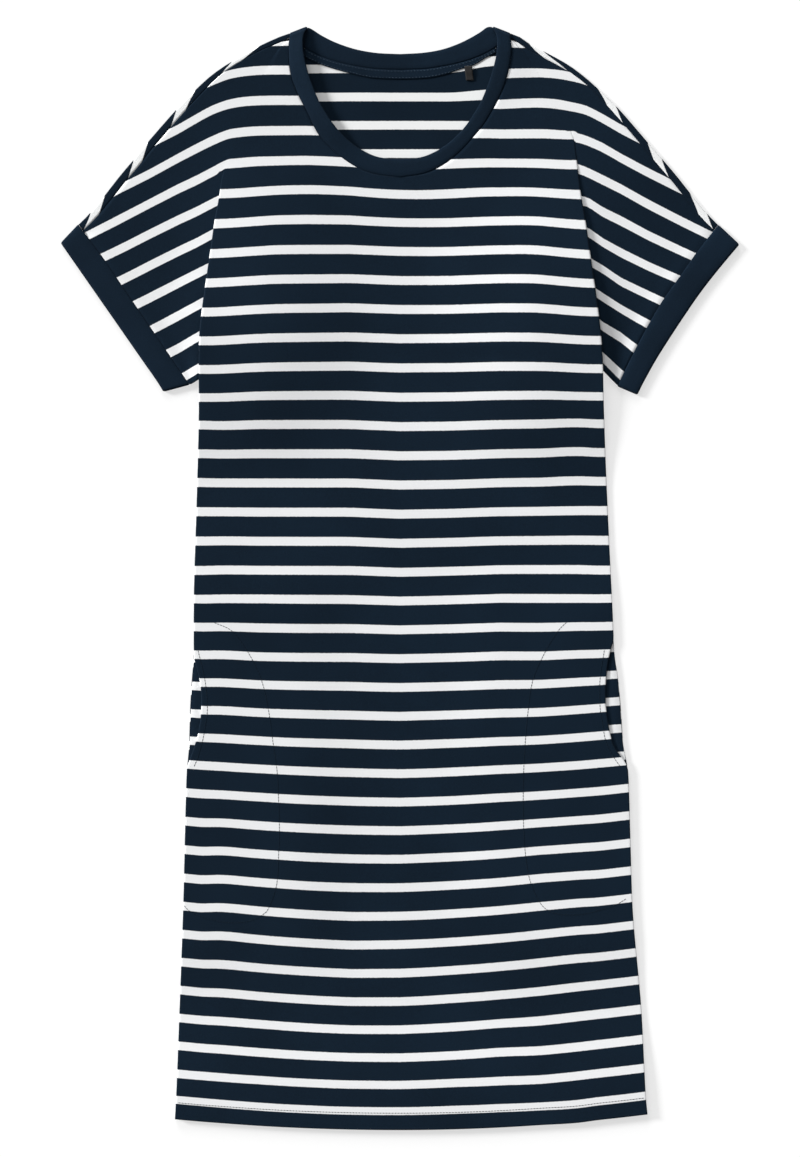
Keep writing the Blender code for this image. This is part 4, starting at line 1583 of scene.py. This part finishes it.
@dataclass
class PocketBag:
    """One layer of jersey behind the front, seen in the pocket's opening."""

    side: Side
    wall: float = CLOTH.bag
    parts: int = 14
    # how far each bag's stripes are off those of the front
    stripe_shift: Plan = (-0.14, 0.2)

    def build(self, material: bpy.types.Material) -> bpy.types.Object:
        """Make the bag.

        Args:
            material: its finish.

        Returns:
            The bag.
        """
        layout = HalfLayout(self.side, Face.FRONT)
        column = 1 + 2 * self.side.value
        shift = self.stripe_shift[self.side.value]
        rows = []
        for row in rounded(Outline.bags, 6):
            inner, outer, down = row[column], row[column + 1], row[0]
            places = [inner + (outer - inner) * k / self.parts for k in range(self.parts + 1)]
            rows.append([(a, down, CLOTH.front_level, layout.row_at(a, down, arm=False) + shift)
                         for a in places])
        name = f"pocket_bag_{self.side.name.lower()}"
        lattice = Lattice(f"{name}_cloth")
        lattice.add(rows, self.side.sign, self.side is Side.RIGHT)
        return dressed(lattice.finish(self.wall), material, name)


@dataclass
class NeckTape:
    """The tape over the seam inside the back of the neck."""

    reach: float = 97.0
    top: float = 0.12
    wall: float = 0.6
    width: float = 9.2
    # how much narrower it gets, and where: towards both sides, then towards the right alone
    narrowings: tuple[tuple[float, float, float], ...] = (
        (1.7, 24.0, 40.0), (1.2, 45.0, 14.0), (2.4, 70.0, 16.0))
    crown: tuple[float, ...] = (0.1, 0.12, 0.12, 0.12, 0.12, 0.1, 0.0)
    lift: float = 0.1

    @property
    def surface(self) -> float:
        """Height of the tape's upper surface at its edges."""
        return CLOTH.jersey + self.lift + self.wall

    def foot(self, point: Plan) -> float:
        """How far below the seam the tape's lower edge lies.

        Args:
            point: a point of the seam.

        Returns:
            The distance.
        """
        both, *right = self.narrowings
        narrow = both[0] * slope(abs(point[0]), both[1:])
        return self.width - narrow - sum(n[0] * slope(point[0], n[1:]) for n in right)

    def line(self) -> Path:
        """The seam from left to right.

        Returns:
            The line.
        """
        half = [r[:2] for r in rounded(Outline.neck_back, 4)]
        both = [(-a, d) for a, d in half] + half[-2::-1]
        return Path([p for p in both if abs(p[0]) < self.reach])

    def build(self, material: bpy.types.Material) -> bpy.types.Object:
        """Make the tape.

        Args:
            material: its finish.

        Returns:
            The tape.
        """
        line, last = self.line(), len(self.crown) - 1
        level = self.surface - self.wall / 2
        columns = [line.moved(lambda p, k=k: self.top + (self.foot(p) - self.top) * k / last).points
                   for k in range(last + 1)]
        rows = [[(*p, level + crown, 0.0) for p, crown in zip(across, self.crown)]
                for across in zip(*columns)]
        lattice = Lattice("neck_tape_cloth")
        lattice.add(rows, 1, False)
        return dressed(lattice.finish(self.wall), material, "neck_tape")


@dataclass
class NeckTab:
    """The small tab that hangs from the tape."""

    # across, down, level: its middle line from the tape to its free end
    spine: tuple[tuple[float, float, float], ...] = (
        (68.2, 66.0, 2.7), (68.6, 70.0, 2.7), (68.9, 72.5, 2.6), (69.4, 76.0, 2.1), (69.9, 80.0, 1.95))
    width: float = 7.5
    wall: float = CLOTH.tab
    parts: int = 6

    def build(self, material: bpy.types.Material) -> bpy.types.Object:
        """Make the tab.

        Args:
            material: its finish.

        Returns:
            The tab.
        """
        rows = [[(a + self.width * (k / self.parts - 0.5), d, z, 0.0) for k in range(self.parts + 1)]
                for a, d, z in rounded(self.spine, 5)]
        lattice = Lattice("neck_tab_cloth")
        lattice.add(rows, 1, True)
        return dressed(lattice.finish(self.wall), material, "neck_tab")


@dataclass
class StitchRow:
    """A line of machine stitches: small beads of thread sunk into the cloth."""

    name: str
    pitch: float = 3.0
    thread: float = 0.7
    share: float = 0.52
    height: float = 0.72
    bm: bmesh.types.BMesh = field(default_factory=bmesh.new)

    def along(self, line: Path, sign: int, level: Callable[[float, float], float]) -> None:
        """Sew along a line.

        Args:
            line: the line in the plane of the laid cloth.
            sign: the side it is on.
            level: the height of the cloth's surface at a point.
        """
        half = self.thread / 2
        size = Matrix.Diagonal((self.pitch * self.share * MM, half * MM, half * self.height * MM, 1.0))
        count = max(1, round(line.length / self.pitch))
        for k in range(count):
            (across, down), (dx, dy) = line.at((k + 0.5) / count)
            place = Matrix.Translation(spot(across, down, level(across, down), sign))
            turn = Matrix.Rotation(math.atan2(-dy, sign * dx), 4, "Z")
            bmesh.ops.create_icosphere(self.bm, subdivisions=1, radius=1.0, matrix=place @ turn @ size)

    def finish(self, material: bpy.types.Material, slot: str) -> bpy.types.Object:
        """Make the stitches one object."""
        return dressed(placed(self.name, self.bm), material, None)


@dataclass
class Sewing:
    """All the stitch rows that show."""

    front: Panel
    tape: NeckTape
    thread: bpy.types.Material
    pale: bpy.types.Material
    # down, left across, right across: topstitching beside the pocket's opening
    topstitch: tuple[tuple[float, ...], ...] = (
        (650.0, 202.0, 204.2), (657.0, 200.3, 203.1), (665.0, 198.2, 201.6), (677.0, 195.6, 200.1),
        (688.0, 193.9, 199.5), (702.0, 192.8, 199.7), (712.0, 192.7, 200.4), (725.0, 194.5, 202.6),
        (740.0, 197.2, 205.3), (750.0, 200.0, 209.6), (759.0, 202.7, 214.8), (766.5, 205.9, 220.2))
    # left across, left down, right across, right down: where the bag is sewn to the front
    bag_seam: tuple[tuple[float, ...], ...] = (
        (186.0, 622.5, 166.7, 622.0), (168.0, 631.0, 158.0, 631.0), (152.0, 652.0, 145.0, 652.0),
        (138.5, 680.0, 132.7, 680.0), (131.0, 713.0, 127.7, 713.0), (127.2, 741.0, 125.2, 741.0),
        (123.0, 770.0, 123.6, 770.0), (121.4, 800.0, 123.1, 797.0), (120.6, 827.0, 123.4, 824.0),
        (121.4, 855.0, 125.0, 851.0), (123.2, 884.0, 129.5, 879.0), (130.8, 907.0, 139.0, 901.0),
        (138.0, 915.0, 147.6, 910.0), (151.0, 921.0, 160.0, 914.0), (170.0, 922.5, 180.0, 914.5),
        (190.0, 919.0, 200.0, 910.0), (208.5, 912.0, 214.6, 905.4), (216.0, 905.5, 226.0, 898.6))
    # distance of the tape's two stitch lines from its edges
    tape_margins: Plan = (1.5, 1.2)
    under_back: float = 0.12

    def surface(self, side: Side) -> Callable[[float, float], float]:
        """Height of the front's upper surface on one side."""
        half = self.front.halves[side]
        return lambda across, down: half.body_level(across, down) + CLOTH.jersey / 2 + 0.03

    def pocket(self, side: Side) -> list[bpy.types.Object]:
        """Sew one pocket: the edge of its opening, and its bag.

        Args:
            side: the side of the garment.

        Returns:
            The two rows of stitches.
        """
        s = side.value
        out = []
        for name, points in (("topstitch", [(r[1 + s], r[0]) for r in self.topstitch]),
                             ("seam", [r[2 * s:2 * s + 2] for r in self.bag_seam])):
            row = StitchRow(f"pocket_{name}_{side.name.lower()}")
            row.along(Path(rounded(points, 4)), side.sign, self.surface(side))
            out.append(row.finish(self.thread, "front"))
        return out

    def hem(self, face: Face) -> bpy.types.Object:
        """Sew the hem, on the front or under the back.

        Args:
            face: the panel.

        Returns:
            The row of stitches.
        """
        name = face.name.lower()
        row = StitchRow(f"hem_stitches_{name}")
        for side in Side:
            half = self.front.halves[side]
            width = half.side_across(1100.0) - 2.0
            places = [width * k / 40 for k in range(41)]
            line = Path([(a, half.body_down(HEM.row, a) - HEM.stitch) for a in places])
            level = self.surface(side) if face is Face.FRONT else lambda a, d: self.under_back
            row.along(line, side.sign, level)
        return row.finish(self.thread, name)

    def tape_edges(self) -> bpy.types.Object:
        """Sew both edges of the tape.

        Returns:
            The two rows, as one object.
        """
        row = StitchRow("neck_tape_stitches", pitch=3.3, share=0.27)
        upper, lower = self.tape_margins
        for distance in (upper, lambda p: self.tape.foot(p) - lower):
            row.along(self.tape.line().moved(distance), 1, lambda a, d: self.tape.surface + 0.08)
        return row.finish(self.pale, "neck_tape")

    def build(self) -> list[bpy.types.Object]:
        """Sew everything."""
        pockets = [row for side in Side for row in self.pocket(side)]
        return [*pockets, self.hem(Face.FRONT), self.hem(Face.BACK), self.tape_edges()]


@dataclass(frozen=True)
class Lamp:
    """A distant light, by its strength, its spread, and where it comes from in degrees."""

    name: str
    strength: float
    spread: float
    elevation: float
    azimuth: float

    def build(self) -> None:
        """Hang the light."""
        light = bpy.data.lights.new(self.name, "SUN")
        light.energy, light.angle = self.strength, math.radians(self.spread)
        obj = bpy.data.objects.new(self.name, light)
        bpy.context.scene.collection.objects.link(obj)
        e, a = math.radians(self.elevation), math.radians(self.azimuth)
        towards = Vector((math.cos(e) * math.cos(a), math.cos(e) * math.sin(a), math.sin(e)))
        obj.rotation_euler = towards.to_track_quat("Z", "Y").to_euler()


@dataclass
class Stage:
    """The white surface, the lights and the camera."""

    white: float = 0.40
    glow: float = 0.605
    half_size: float = 3.0
    all_round: float = 0.28
    lamps: tuple[Lamp, ...] = (
        Lamp("side_light", 5.02, 12.0, 19.0, 155.0), Lamp("top_light", 2.20, 26.0, 20.0, 105.0))
    lens: float = 85.0
    sensor: float = 36.0
    view_length: float = 1.157
    focus_height: float = 0.003
    camera_shift: float = -0.0002

    def floor(self) -> None:
        """A plain white surface under the garment."""
        bm = bmesh.new()
        bmesh.ops.create_grid(bm, x_segments=2, y_segments=2, size=self.half_size)
        floor = placed("floor", bm)
        nodes = Nodes("floor_white")
        for name, value in (("Base Color", (self.white, self.white, self.white, 1.0)),
                            ("Emission Color", (1.0, 1.0, 1.0, 1.0)), ("Emission Strength", self.glow),
                            ("Roughness", 1.0), ("Specular IOR Level", 0.0)):
            nodes.shader.inputs[name].default_value = value
        floor.data.materials.append(nodes.material)

    def lights(self) -> None:
        """Soft light from all round, with a low part from the upper left."""
        world = bpy.data.worlds.new("soft_light")
        world.use_nodes = True
        background = next(n for n in world.node_tree.nodes if n.type == "BACKGROUND")
        background.inputs["Color"].default_value = (1.0, 1.0, 1.0, 1.0)
        background.inputs["Strength"].default_value = self.all_round
        bpy.context.scene.world = world
        for lamp in self.lamps:
            lamp.build()

    def camera(self) -> None:
        """Straight down, with the whole garment in view."""
        data = bpy.data.cameras.new("camera")
        data.lens, data.sensor_width = self.lens, self.sensor
        data.clip_start, data.clip_end = 0.05, 20.0
        camera = bpy.data.objects.new("camera", data)
        distance = self.view_length * self.lens / self.sensor
        camera.location = (0.0, self.camera_shift, distance + self.focus_height)
        bpy.context.scene.collection.objects.link(camera)
        bpy.context.scene.camera = camera

    def build(self) -> None:
        """Set the stage."""
        self.floor()
        self.lights()
        self.camera()
        bpy.context.scene.view_settings.view_transform = "Standard"


def main() -> None:
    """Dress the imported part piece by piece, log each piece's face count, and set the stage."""
    logging.basicConfig(level=logging.INFO, format="%(message)s")
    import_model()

    stripes = Yarn().striped("striped_jersey")
    # The back's copy of the striped jersey is a shaded copy: its navy is darker than the front's as painted
    # shade, standing for the shadow of the neck's walls inside the opening; its white is a little lighter.
    inside = Yarn(dark=(0.0025, 0.0094, 0.0195), light=(0.83, 0.84, 0.84)).striped("striped_jersey_reverse")
    plain = Yarn(dark=(0.0035, 0.0112, 0.0228)).plain("plain_jersey")
    thread = Yarn(dark=(0.0030, 0.0095, 0.018), relief=0.0).plain("thread")
    pale = Yarn(dark=(0.040, 0.062, 0.088), relief=0.0).plain("pale_thread")
    woven = Yarn(dark=(0.010, 0.0095, 0.0095), sheen=0.2, relief=0.2).plain("woven_tab")

    back = Panel(Face.BACK).build(inside)
    front_panel = Panel(Face.FRONT)
    front = front_panel.build(stripes)
    ring = Neckband().build(plain)
    cuffs = [Cuff(side).build(plain) for side in Side]
    bags = [PocketBag(side).build(stripes) for side in Side]
    neck_tape = NeckTape()
    tape = neck_tape.build(plain)
    tab = NeckTab().build(woven)
    rows = Sewing(front_panel, neck_tape, thread, pale).build()
    for piece in (back, front, ring, *cuffs, *bags, tape, tab, *rows):
        LOG.info("%s: %d faces", piece.name, len(piece.data.polygons))

    Stage().build()


if __name__ == "__main__":
    main()
